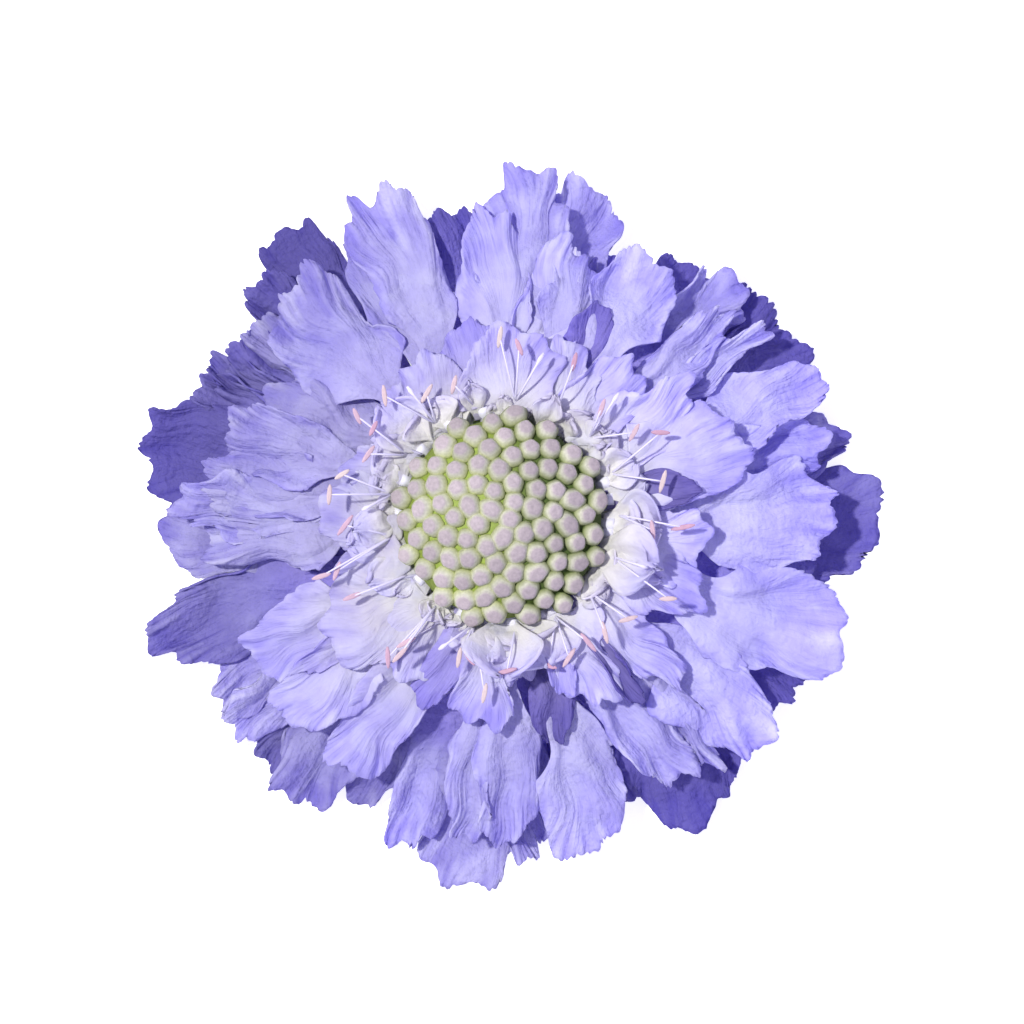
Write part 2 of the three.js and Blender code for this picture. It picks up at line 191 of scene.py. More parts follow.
def ramp(tree, value, stops):
    """A colour ramp's output. stops is [(position, colour), ...]."""
    made = add(tree, "ValToRGB", {"Fac": value})
    elements = made.color_ramp.elements
    while len(elements) < len(stops):
        elements.new(0.5)
    for element, (position, colour) in zip(elements, stops):
        element.position = position
        element.color = (*colour, 1)
    return made.outputs["Color"]


def bumps(tree, height, deep, strength):
    """A normal from a height, where 1 is deep mm."""
    return add(tree, "Bump", {"Height": height, "Distance": deep * MM, "Strength": strength}).outputs[0]


def attribute_parts(tree, name):
    """The four numbers that each point of a piece keeps in its own attribute."""
    made = add(tree, "Attribute", attribute_name=name)
    parts = add(tree, "SeparateColor", {0: made.outputs["Color"]})
    return [*parts.outputs, made.outputs["Alpha"]]


def new_material(name):
    """A material with nodes, its tree and its Principled shader."""
    material = bpy.data.materials.new(name)
    material.use_nodes = True
    return material, material.node_tree, material.node_tree.nodes["Principled BSDF"]


# %% [markdown]
# ## The camera
#
# The flower is seen straight down on its face. A long lens from well above keeps the raised disc and
# the low petals at nearly one scale. The lens follows from the width of the view at the petals.

# %% Camera
VIEW_WIDTH = 102.4  # mm across the picture at the petals
PETAL_HEIGHT = 5.0  # mm
CAMERA_HEIGHT = 640.0
VIEW_X = 0.0  # what the middle of the picture looks at
VIEW_Y = 1.75
SENSOR_WIDTH = 36.0
CLIP_NEAR = 0.01  # m
CLIP_FAR = 10.0

camera = bpy.data.objects.new("camera", bpy.data.cameras.new("camera"))
bpy.context.scene.collection.objects.link(camera)
camera.data.type = "PERSP"
camera.data.sensor_width = SENSOR_WIDTH
camera.data.lens = SENSOR_WIDTH * (CAMERA_HEIGHT - PETAL_HEIGHT) / VIEW_WIDTH
camera.data.clip_start = CLIP_NEAR
camera.data.clip_end = CLIP_FAR
camera.location = (VIEW_X * MM, VIEW_Y * MM, CAMERA_HEIGHT * MM)
bpy.context.scene.camera = camera
print("lens", round(camera.data.lens, 1), "mm")

# %% [markdown]
# ## Floor and light
#
# One lamp, high on the left, gives the petals their edges and the folds their shade. An area lamp
# could do that too, but a sun's shadows fall the same way all over the head, and its angle of a few
# degrees keeps their edges soft. The world fills the shade with a cool sky, and the floor glows a
# little, so that it stays pale under the head.

# %% Floor and light
SUN_DIRECTION = 158.0  # degrees round from +X
SUN_HEIGHT = 67.0
SUN_ANGLE = 3.0
SUN_COLOUR = (1.0, 0.98, 0.94)
SUN_STRENGTH = 3.2
SKY_COLOUR = (0.62, 0.585, 1.0, 1.0)
SKY_STRENGTH = 0.76
FLOOR_SIZE = 3.0  # m
FLOOR_COLOUR = (0.9, 0.9, 0.9, 1)
FLOOR_ROUGHNESS = 0.9
FLOOR_GLOW = 0.7

bpy.context.scene.view_settings.view_transform = "Standard"


def make_floor():
    """A large pale square at the height that the flower lies on."""
    bm = bmesh.new()
    bmesh.ops.create_grid(bm, x_segments=1, y_segments=1, size=FLOOR_SIZE / 2)
    mesh = bpy.data.meshes.new("floor")
    bm.to_mesh(mesh)
    bm.free()
    paint, _, shader = new_material("floor_paint")
    set_inputs(shader, {"Base Color": FLOOR_COLOUR, "Roughness": FLOOR_ROUGHNESS})
    set_inputs(shader, {"Emission Color": (1, 1, 1, 1), "Emission Strength": FLOOR_GLOW})
    mesh.materials.append(paint)
    floor = bpy.data.objects.new("floor", mesh)
    bpy.context.scene.collection.objects.link(floor)


def make_lights():
    """The sun lamp, aimed from its direction and height, and the sky."""
    lamp = bpy.data.lights.new("sun", "SUN")
    lamp.energy = SUN_STRENGTH
    lamp.color = SUN_COLOUR
    lamp.angle = math.radians(SUN_ANGLE)
    sun = bpy.data.objects.new("sun", lamp)
    a = math.radians(SUN_DIRECTION)
    e = math.radians(SUN_HEIGHT)
    towards_sun = Vector((math.cos(a) * math.cos(e), math.sin(a) * math.cos(e), math.sin(e)))
    sun.rotation_euler = towards_sun.to_track_quat("Z", "Y").to_euler()
    bpy.context.scene.collection.objects.link(sun)
    world = bpy.data.worlds.new("sky")
    world.use_nodes = True
    set_inputs(world.node_tree.nodes["Background"], {"Color": SKY_COLOUR, "Strength": SKY_STRENGTH})
    bpy.context.scene.world = world


make_floor()
make_lights()
print("sun from", SUN_DIRECTION, "degrees,", SUN_HEIGHT, "up")

# %% [markdown]
# ## Mottle: a node group for living surfaces
#
# No plant is one flat colour. A soft noise on Object coordinates, which are the frame's metres,
# gives every piece the same drift from lighter to darker wherever it lies. Several materials use it,
# so it is a group, and each gives its own patch size and depth.

# %% Mottle group


def new_group(name, inputs, outputs):
    """An empty node group with number inputs, {name: default}, and number outputs."""
    group = bpy.data.node_groups.new(name, "ShaderNodeTree")
    for label, value in inputs.items():
        socket = group.interface.new_socket(name=label, in_out="INPUT", socket_type="NodeSocketFloat")
        socket.default_value = value
    for label in outputs:
        group.interface.new_socket(name=label, in_out="OUTPUT", socket_type="NodeSocketFloat")
    return group, group.nodes.new("NodeGroupInput"), group.nodes.new("NodeGroupOutput")


def mottle_group():
    """Puts out a factor round 1 that drifts over the surface."""
    group, start, end = new_group("mottle", {"Patch mm": 4.0, "Depth": 0.1}, ["Factor"])
    place = add(group, "TexCoord")
    scale = maths(group, "DIVIDE", 1 / MM, start.outputs["Patch mm"])
    cloud = add(group, "TexNoise", {"Vector": place.outputs["Object"], "Scale": scale, "Detail": 3.0})
    centred = maths(group, "SUBTRACT", cloud.outputs["Fac"], 0.5)
    depth = maths(group, "MULTIPLY", start.outputs["Depth"], 2.0)
    set_inputs(end, {"Factor": maths(group, "MULTIPLY_ADD", centred, depth, 1.0)})
    return group


MOTTLE = mottle_group()


def mottle(tree, patch, depth):
    """The drift round 1 in a material: patches patch mm wide, as strong as depth."""
    return add(tree, "Group", {"Patch mm": patch, "Depth": depth}, node_tree=MOTTLE).outputs["Factor"]


# %% [markdown]
# ## The petals' finish
#
# A scabiosa petal is near white at the throat and lavender towards its rim, with fine veins that fan
# out along it. The veins follow the petal, not the room, so they read the petal's own UV map: U runs
# from the claw to the rim and V across. Light comes through a petal that is lit from behind, and a
# share of Translucent shader beside the Principled one does that. Subsurface scattering could too,
# but it is meant for thick things such as wax and takes far longer to render.
#
# The deep colour belongs to petals low in the head. It is partly their own deeper blue and partly
# painted shade, as they lie in the others' shade. Each lobe carries its tone, lightness and whiteness
# in an attribute, and so does each point its relief: shade is painted into the furrows and light onto
# the ridges. Soft whitish clouds, the bloom, lie on the pale lobes.

# %% Veins group
VEIN_COUNT = 34.0
VEIN_STRETCH = 5.0  # how often the veins change from claw to rim
VEIN_SHARP = (0.5, 0.72)  # the range of noise over which a vein fades in
RIM_FROM = 0.5  # the rim's colours come in from this share of a petal's length


def vein_group():
    """Fine lines along a petal, from its UV map: a mask for colour, a height for bump, and the rim."""
    group, start, end = new_group("petal_veins", {"Veins": VEIN_COUNT}, ["Mask", "Height", "Rim"])
    uv = add(group, "UVMap", uv_map="petal")
    parts = add(group, "SeparateXYZ", {0: uv.outputs["UV"]})
    across = maths(group, "MULTIPLY", parts.outputs["Y"], start.outputs["Veins"])
    along = maths(group, "MULTIPLY", parts.outputs["X"], VEIN_STRETCH)
    place = add(group, "CombineXYZ", {0: along, 1: across}).outputs[0]
    streaks = add(group, "TexNoise", {"Vector": place, "Scale": 1.0, "Detail": 2.0, "Roughness": 0.6})
    mask = remap(group, streaks.outputs["Fac"], *VEIN_SHARP, steps="SMOOTHSTEP")
    rim = remap(group, parts.outputs["X"], RIM_FROM, 1.0, steps="SMOOTHSTEP")
    set_inputs(end, {"Mask": mask, "Height": streaks.outputs["Fac"], "Rim": rim})
    return group


VEINS = vein_group()
print("node groups:", MOTTLE.name, "and", VEINS.name)

# %% Petal colours
PALE = [  # shares of FULL_RADIUS, and the colours there
    (0.25, (0.88, 0.88, 0.83)),
    (0.33, (0.775, 0.77, 0.88)),
    (0.43, (0.665, 0.645, 0.91)),
    (0.64, (0.64, 0.625, 0.92)),
    (1.0, (0.61, 0.58, 0.91)),
]
# painted shade: the deep colours are partly the low petals' own deeper blue and partly the shade they lie
# in under the others
DEEP_AND_SHADE = [
    (0.22, (0.55, 0.50, 0.95)),
    (0.5, (0.42, 0.37, 0.88)),
    (0.64, (0.29, 0.26, 0.68)),
    (0.8, (0.18, 0.16, 0.46)),
    (1.0, (0.185, 0.165, 0.47)),
]
VEIN_TINT = (0.87, 0.86, 0.96, 1)
VEIN_LEAST = 0.3  # how clear the veins are away from the rim
MIDDLE_TINT = (1.0, 1.0, 0.97, 1)
RIM_TINT = (0.87, 0.84, 1.0, 1)
FULL_RADIUS = 38.0  # mm from the head's axis at the far end of both ramps
WHITER = 0.07  # how far towards the axis the pale lobes' colours are taken, as a share of that radius
BLOOM_TINT = (0.74, 0.75, 0.94, 1)  # the whitish clouds on a pale lobe
BLOOM_PATCH = 3.4  # mm
BLOOM_RANGE = (0.95, 1.3)  # the range of the drift over which a cloud fades in
BLOOM_MOST = 0.4
# painted shade and light: the furrows of each lobe's relief are darkened and its ridges lightened, as light
# and shade would fall on them
VALLEY_PAINTED_SHADE = (0.70, 0.67, 0.93, 1)
VALLEY_SHADE_RANGE = (0.5, 0.1)  # the relief from where a furrow darkens to where it is darkest
CREST_PAINTED_LIGHT = (0.80, 0.80, 0.95, 1)
CREST_LIGHT_RANGE = (0.55, 1.0)
PAINTED_RELIEF_MOST = 0.75
CRINKLE_PATCH = 0.65
CRINKLE_ON_WHITE = 0.4  # the fine crinkle's share on a white lobe
PETAL_BUMP = 0.35  # mm
THROUGH_TINT = (0.92, 0.87, 1.0, 1)
LIGHT_THROUGH = 0.33
print("petals of", len(PALE), "pale and", len(DEEP_AND_SHADE), "deep colours from throat to rim")

# %% Petal material


def head_radius(tree):
    """How far a point is from the head's axis, as a share of FULL_RADIUS."""
    head = (HEAD_X * MM, HEAD_Y * MM, 0)
    place = add(tree, "TexCoord").outputs["Object"]
    from_axis = add(tree, "VectorMath", {0: place, 1: head}, operation="SUBTRACT").outputs[0]
    flat = add(tree, "VectorMath", {0: from_axis, 1: (1, 1, 0)}, operation="MULTIPLY").outputs[0]
    radius = add(tree, "VectorMath", {0: flat}, operation="LENGTH").outputs["Value"]
    return maths(tree, "DIVIDE", radius, FULL_RADIUS * MM)


def petal_colour(tree, vein, clear):
    """The petal's colour, from its place in the head and its lobe's own attribute, with painted shade and
    painted light in it.
    """
    tone, light, white, relief = attribute_parts(tree, "lobe")
    radius = head_radius(tree)
    pale = ramp(tree, maths(tree, "MULTIPLY_ADD", white, -WHITER, radius), PALE)
    colour = mix_colours(tree, tone, pale, ramp(tree, radius, DEEP_AND_SHADE))
    lines = maths(tree, "MULTIPLY", vein.outputs["Mask"], clear)
    colour = mix_colours(tree, lines, colour, tinted(tree, colour, VEIN_TINT))
    colour = tinted(tree, colour, mix_colours(tree, vein.outputs["Rim"], MIDDLE_TINT, RIM_TINT))
    cloud = mottle(tree, BLOOM_PATCH, 1.0)
    bloom = remap(tree, cloud, *BLOOM_RANGE, to_high=BLOOM_MOST, steps="SMOOTHSTEP")
    paleness = maths(tree, "SUBTRACT", 1.0, tone)
    colour = mix_colours(tree, maths(tree, "MULTIPLY", bloom, paleness), colour, BLOOM_TINT)
    # painted shade in the furrows and painted light on the ridges, from the relief
    valley_shade = remap(tree, relief, *VALLEY_SHADE_RANGE, to_high=PAINTED_RELIEF_MOST)
    crest_light = remap(tree, relief, *CREST_LIGHT_RANGE, to_high=PAINTED_RELIEF_MOST)
    colour = mix_colours(tree, valley_shade, colour, tinted(tree, colour, VALLEY_PAINTED_SHADE))
    colour = mix_colours(tree, maths(tree, "MULTIPLY", crest_light, paleness), colour, CREST_PAINTED_LIGHT)
    # the lightness brings in painted light on one side of the head and painted shade on the darkest lobes
    return times(tree, times(tree, colour, mottle(tree, 1.6, 0.09)), light), white


def petal_material():
    """Matt, finely ribbed and crinkled, with a share of the light coming through."""
    material, tree, shader = new_material("petal")
    vein = add(tree, "Group", {"Veins": VEIN_COUNT}, node_tree=VEINS)
    clear = maths(tree, "MULTIPLY_ADD", vein.outputs["Rim"], 1 - VEIN_LEAST, VEIN_LEAST)
    colour, white = petal_colour(tree, vein, clear)
    rough = remap(tree, white, 0.0, 1.0, 1.0, CRINKLE_ON_WHITE)
    fine = maths(tree, "MULTIPLY", mottle(tree, CRINKLE_PATCH, 0.6), rough)
    ribs = maths(tree, "MULTIPLY", vein.outputs["Height"], clear)
    normal = bumps(tree, maths(tree, "ADD", ribs, fine), PETAL_BUMP, 0.85)
    set_inputs(shader, {"Base Color": colour, "Normal": normal})
    set_inputs(shader, {"Roughness": 0.62, "Specular IOR Level": 0.25})
    through = add(tree, "BsdfTranslucent", {"Color": tinted(tree, colour, THROUGH_TINT)})
    both = add(tree, "MixShader", {0: LIGHT_THROUGH, 1: shader.outputs[0], 2: through.outputs[0]})
    set_inputs(tree.nodes["Material Output"], {"Surface": both.outputs[0]})
    return material


PETAL = petal_material()

# %% [markdown]
# ## What the petals grow from
#
# The plain solids settle where each whorl of petals sits: three rings of floret tubes round the disc.
# Their sizes are repeated here, in mm, because the petals must leave the same rings.

# %% Heights and radii of the head
RECEPTACLE_Z = 7.3
RECEPTACLE_THICK = 1.5
RECEPTACLE_R = 8.4
RING_THICK = 1.4
RING_GAP = 0.3
RING_Z = [RECEPTACLE_Z + RECEPTACLE_THICK + RING_GAP + k * (RING_THICK + RING_GAP) for k in range(3)]
RINGS_TOP = RING_Z[2] + RING_THICK
RING_OUTER_R = 10.4
ROOT_R = 9.75
HEAD_REACH = 37.8
CLAW_HALF_WIDTH = 1.0
print("rings of tubes at", [round(z, 1) for z in RING_Z], "mm")

# %% [markdown]
# ## The petals' places
#
# A scabiosa has no ring of equal petals: each lobe has its own direction, reach and width, and that
# is what makes the head look grown. Each row is one lobe: the direction it points in, how far it
# reaches from the axis, the half width of its fan and the fan's depth, and how far it lifts over its
# neighbours, all in mm. Then come its tone and how crumpled it is. The tone is 0 for pale and 1 for
# the deep blue of the lowest petals, which is partly their own colour and partly painted shade, under
# 0 for a whitish lobe, and over 1, up to 2, for a lobe painted dark as if deep in shade.
# Some lobes are nearly smooth, and some are gathered into pleats. A few rows end with a lean: how
# much farther the rim reaches on the left than in the middle. The namedtuple gives each column a
# name, so that a formula can say `lobe.reach`.

# %% Tables of lobes
from collections import namedtuple

Lobe = namedtuple("Lobe", "direction reach half deep lift tone crumple lean", defaults=[0])
OUTER_LOBES = [
    (-1, 37.7, 6.6, 7.5, -0.2, 0.9, 0.6),
    (13.5, 34.8, 2.9, 5, 0.4, 0.7, 0.7, -0.4),
    (29.5, 34.4, 4.8, 7, -0.3, 1, 0.5, -0.6),
    (39.5, 33.8, 3.4, 6, -0.6, 1, 0.5),
    (44.5, 33.1, 3.5, 6, 1, 0.35, 0.9),
    (52, 31.8, 4.2, 7, -0.4, 1, 0.4),
    (75.5, 34.1, 4.2, 7, 0.4, 0.3, 0.6, 0.6),
    (101, 31.5, 3.6, 7, 0, 1, 0.3),
    (128, 36.7, 4, 8, 0, 1, 0.5),
    (136.5, 34.4, 3, 6, -0.3, 0.95, 0.6),
    (143, 31.9, 1.8, 4, 0.5, 0.3, 0.6),
    (148, 31.9, 3, 6, 0.2, 0.85, 0.8),
    (153.5, 33.1, 2.7, 6, 0.4, 0.9, 0.8),
    (158, 33.7, 2.5, 6, -0.2, 0.9, 0.8),
    (169, 37.5, 5.8, 9, 0.3, 1, 0.45),
    (184, 34.5, 3.9, 7, 0.2, 0.3, 0.7),
    (199.2, 37.9, 4.0, 9, 0.3, 0.75, 0.6),
    (212.3, 34.5, 3.4, 6.5, -0.2, 0.15, 0.7, 0.2),
    (217.5, 35.1, 3.2, 6.5, 0.4, 0.1, 0.7),
    (225.5, 35, 3.2, 6, -0.3, 0.85, 0.7),
    (233, 35.9, 4, 7, 0.5, 0.55, 0.8),
    (242, 32.7, 3, 6, -0.4, 0.6, 0.6),
    (253.7, 35, 2.8, 7, 0.4, 0.1, 0.7),
    (263.5, 37.4, 6.1, 8, 0, 0.4, 0.9),
    (273, 34.5, 2.8, 6, 0.3, 0.45, 0.7),
    (289.5, 32.2, 4.2, 7, 0, 0.8, 0.6),
    (304.7, 37.1, 5.6, 8.5, 0.2, 1, 0.6, 0.9),
    (327.5, 34.6, 3.8, 7, 0, 1, 0.5),
    (346, 32.7, 4.2, 6.5, 0.2, 0.95, 0.5),
    # painted shade: the last four rows are short lobes laid in gaps low in the head, deep in tone to stand
    # for the shade there
    (315, 31.8, 3.4, 6, -0.3, 1, 0.5),
    (190.5, 26.5, 2.6, 6, -0.4, 1, 0.5),
    (281, 30, 2.8, 7, -0.5, 1, 0.5),
    (65, 27.8, 3.4, 6, -0.5, 1, 0.5),
]
MIDDLE_LOBES = [
    (-1, 33.3, 5.5, 9.5, 0.7, 0, 0.4),
    (13.5, 32.8, 3.0, 8, 0.2, 0.2, 0.6),
    (22.5, 35.0, 3.5, 9, 0.9, 0.1, 0.2),
    (36.2, 32, 1.9, 10, 0.5, 0.15, 0.7),
    (41.5, 30.2, 2.5, 8, 1.3, 0.1, 0.9, 0.4),
    (59.7, 29.7, 4.2, 5.4, 1.8, 0.12, 0.5, 0.2),
    (73.5, 27, 2.7, 4.4, 0.6, 0.25, 0.8),
    (79, 28.5, 3.2, 10, 0.6, -0.5, 0.6),
    (86, 34.7, 5.2, 9, 0.2, 0.25, 0.7),
    (93, 30.7, 3.6, 9, 1.2, -0.5, 0.5),
    (112.5, 35.9, 4.2, 11, 1.2, 0.15, 0.8, 0.3),
    (118.6, 32, 2.9, 8, 0.7, 0.3, 0.7),
    (134.5, 32.2, 4.8, 10, 1.0, 0.35, 0.8),
    (152, 26.5, 4.0, 8, 0.3, 0.35, 0.6),
    (162, 29.5, 3.6, 8, 0.7, 0.33, 0.5),
    (171, 30.3, 3.6, 8, 0.2, 0.33, 0.6),
    (178.3, 33, 3.2, 8, 0.6, 0.2, 0.8),
    (184.5, 30.5, 3.6, 9, 0.4, 0.15, 0.6),
    (209.5, 29.4, 3.9, 8, 0.5, -1, 0.3),
    (222.5, 30.1, 4.2, 8, 1.3, -1.2, 0.4),
    (238.7, 30.4, 4.1, 10, 1.3, -1, 0.3),
    (262.5, 33, 2.3, 8, 0.3, 0.2, 0.5),
    (270.7, 33.4, 3.1, 9, 0.9, 0.2, 0.5),
    (285.5, 34.6, 5.0, 7, 0.6, 0.05, 0.4, -1.4),
    (302, 32, 3.3, 9, 0.3, 0.2, 0.5, 1.3),
    (311, 32.8, 2.1, 8, 0.7, 0.2, 0.9),
    (319.5, 34.5, 4.3, 9, 0.9, 0.15, 0.4, -0.2),
    (339, 36.6, 5.7, 10, 1.2, -0.2, 0.25, 0.5),
    # painted shade: the last two rows are narrow lobes of tone over 1, dark sheets laid where the head is
    # in shade
    (284, 23.4, 1.8, 5, 1.7, 1.8, 0.4),
    (65, 23, 1.8, 5, 1.9, 1.35, 0.4),
]
INNER_LOBES = [
    (355, 15, 2.4, 3.5, 0, 0.05, 0.7),
    (18, 25.2, 4.7, 8.5, 0.6, 0, 0.4),
    (34, 22.5, 3.2, 8, 0.2, 0.05, 0.7),
    (50, 20, 3.4, 7, 0.4, 0.35, 0.8),
    (66, 18.2, 4, 7, 0.4, 0, 0.9),
    (86, 18.8, 5.2, 8, 0.8, 0.18, 0.6),
    (101.5, 19.5, 3.4, 6, 0, 0.45, 0.4),
    (121, 18.2, 3.8, 6, 0.4, 0.22, 0.7),
    (142, 16, 3.4, 5, 0, 0, 0.9),
    (161, 16.4, 3, 5, 0.4, 0.1, 0.9),
    (179, 18.2, 4, 6, 0, 0, 0.8),
    (199, 17, 3, 5.5, 0.4, 0, 0.9),
    (217, 21.8, 5, 9, 0, -0.6, 0.5),
    (234, 19.6, 3.6, 7, 0.5, 0, 0.8),
    (263, 21.4, 3, 7, 0.2, 0.1, 0.8),
    (274, 17, 3.4, 6, 0.6, 0, 0.9),
    (297, 21.4, 3.4, 8, 0, 0.1, 0.7),
    (315.5, 23.8, 3, 9, -0.1, 0.1, 0.7),
    (336, 21.4, 3.8, 8, 0.5, 0.05, 0.6),
    (350, 20.2, 4, 6, 0.2, 0, 0.7),
    # painted shade: the rows at 305.5, 8.5 and 247 are narrow dark lobes laid where the head is in shade
    (305.5, 22.8, 1.1, 4, 0.1, 1.9, 0.3),
    (289, 19, 1.5, 5, 0.5, 0.5, 0.3),
    (8.5, 19.4, 1.75, 5, 2.4, 1.9, 0.3),
    (247, 20.8, 2.0, 7, 0.3, 0.75, 0.3),
]


def new_whorl(name, ring, rows, **form):
    """A whorl on one of the rings of tubes, with its lobes and the values that shape them."""
    lobes = [Lobe(*row) for row in rows]
    return dict(form, name=name, lobes=lobes, ring_z=RING_Z[ring], seed=100 * (ring + 1))


OUTER = new_whorl("outer", 0, OUTER_LOBES, neck=0.42, rise=0, droop=8.3, fold=0.8, white=0)
MIDDLE = new_whorl("middle", 1, MIDDLE_LOBES, neck=0.18, rise=1.2, droop=7.2, fold=0.7, white=0.15)
INNER = new_whorl("inner", 2, INNER_LOBES, neck=0.24, rise=3.0, droop=6.2, fold=0.5, white=1)
print(len(OUTER_LOBES) + len(MIDDLE_LOBES) + len(INNER_LOBES), "lobes")

# %% [markdown]
# ## The shape of one lobe
#
# A petal could be drawn as an outline and filled, but then nothing gives it its folds. A flat grid
# whose points are moved by a formula does both. Seen from above, a lobe is a narrow neck that opens
# into a round fan. Each line along the grid leaves the neck side by side with the others and bends
# out to its own place on the fan's rim, as the veins do, so pleats that follow the lines spread
# like a real petal's. The height comes next: how the lobe droops, tips and folds. The smallest forms
# come last, and only a fine grid can hold them: pleats, a ruffle and the uneven teeth of the rim.

# %% A lobe seen from above
FAN_SWEEP = 104.0  # degrees from the fan's tip round to each end of its rim
NECK_AT = 0.48  # where the neck ends, as a share of the way from the root to the fan's middle
NECK_LEAST = 0.45  # mm, half its width besides the share of the fan's that its whorl gives it
NECK_ROWS = 0.15  # the share of the grid's rows that the neck takes
BLUNT = 0.8  # 1 for an oval fan, lower for a squarer one
LONG_WAVE = 0.07  # the rim's waves, as shares of the fan's depth
SHORT_WAVE = 0.06
BOW = 0.3  # how far a lobe may bend to one side on its way out, as a share of the half width
SWING = 1.0  # degrees that a lobe may lean to one side
LONG_TURNS = 1.6  # half waves across the rim, and up to one more
SHORT_TURNS = 17
WAVES_LEAST = 0.3  # the waves of a lobe that isn't crumpled at all
KNEE_AT = 0.75  # where the lines from claw to rim bend, as a share of the way from the neck
KNEE_WIDE = 1.9  # how wide a lobe is there, in widths of its neck


def fan_of(lobe):
    """The half width of a lobe's fan and its depth, mm. The fan of a short lobe starts past its claw."""
    return lobe.half, min(0.75 * (lobe.reach - ROOT_R), lobe.deep)


def rim_length(lobe):
    """From the middle of a lobe's rim to its end, mm."""
    half, deep = fan_of(lobe)
    return math.radians(FAN_SWEEP) * (half + deep) / 2


def blunt(x):
    """Pushes a sine or cosine outwards, so that a fan's oval becomes squarer."""
    return math.copysign(abs(x) ** BLUNT, x)


def plan_point(lobe, neck_share, own, u, v):
    """Where u along and v across a lobe that points along +X lies, and the way its rim faces there."""
    half, deep = fan_of(lobe)
    middle = lobe.reach - deep
    uneven = WAVES_LEAST + lobe.crumple
    long = LONG_WAVE * uneven * math.cos(v * math.pi * (LONG_TURNS + own(0)) + 6 * own(5))
    short = SHORT_WAVE * uneven * math.cos(v * SHORT_TURNS + 6 * own(6))
    size = 1 + long + short - 0.75 * LONG_WAVE
    turn = v * math.radians(FAN_SWEEP)
    ahead = middle + deep * size * blunt(math.cos(turn)) + lobe.lean * math.sin(turn)
    rim = Vector((ahead, half * size * blunt(math.sin(turn))))
    neck = Vector((lerp(ROOT_R, middle, NECK_AT), v * (NECK_LEAST + neck_share * half)))
    knee = Vector((lerp(neck.x, min(rim.x, middle), KNEE_AT), KNEE_WIDE * neck.y))
    if u < NECK_ROWS:
        claw = Vector((ROOT_R, v * CLAW_HALF_WIDTH))
        return claw.lerp(neck, u / NECK_ROWS), Vector((1, 0))
    t = (u - NECK_ROWS) / (1 - NECK_ROWS)
    point = neck.lerp(knee, t).lerp(knee.lerp(rim, t), t)
    point.y += BOW * half * (2 * own(3) - 1) * 4 * t * (1 - t)
    return point, (rim - knee).normalized()


# %% A lobe in the round
BEND = 1.4  # how much a lobe's tip may stand up or hang down from its whorl's own curve
RESTING = (-1, 128, 263.5)  # the outer lobes that touch the surface, by their direction
SAG_FROM = 0.55  # they sag to it from this share of their length
REST_FROM = 0.84
LOWEST = 0.85  # mm, the middle of the other lobes over the surface
LOWEST_RESTING = 0.16
ROLL = 0.16  # how far a lobe tips about its own length, mm a mm
FULL_FORM_AT = 18  # mm, the length from which a lobe has all of the forms below

WARP_WIDTH = 4.0
WARP = 1.2  # mm, how far the lines along a lobe wander sideways
WAVE_WIDTH = 6.0  # mm along the rim
WAVE_DEEP = 0.8
BILLOW_WIDTH = 4.8
BILLOW_DEEP = 1.1
CRINKLE_WIDTH = 1.7
CRINKLE_DEEP = 0.2
CURL = 0.9  # how far the rim may roll up or down
PLEAT_WIDTH = 2.2
PLEAT_DEEP = 0.5
PLEAT_SOFT = 0.6
PLEAT_SHARP = 0.4
PLEAT_WANDER = 2.2
CRIMP_WIDTH = 1.1
CRIMP_DEEP = 0.22
RUFFLE_WIDTH = 1.4
RUFFLE_DEEP = 0.75
RELIEF = 1.3  # how much of the whole range of relief a mm of small forms is
BILLOW_RELIEF = 0.25
TOOTH_WIDTH = 0.9
TOOTH_DEEP = 0.6
NOTCH_WIDTH = 2.4
NOTCH_DEEP = 0.7

# %% A lobe's points


def patchy(place, width, seed):
    """Noise over a flat place, in patches about width mm wide."""
    return ripple(place.x / width, place.y / width, seed)


def teeth(own, along_rim, crumple):
    """How far the rim's teeth stand out, in mm, at a distance along the rim."""
    seed = 60 * own(2)
    step = along_rim / TOOTH_WIDTH + seed
    step += 0.9 * ripple(0.6 * step, seed, 0)
    scallop = math.sin(math.pi * (step % 1)) ** 0.6
    size = max(0.1, 0.55 + 1.2 * ripple(0.37 * step, 7.7, seed))
    notch = ripple(along_rim / NOTCH_WIDTH, seed, 3.3)
    return TOOTH_DEEP * size * scallop + NOTCH_DEEP * (0.3 + crumple) * notch


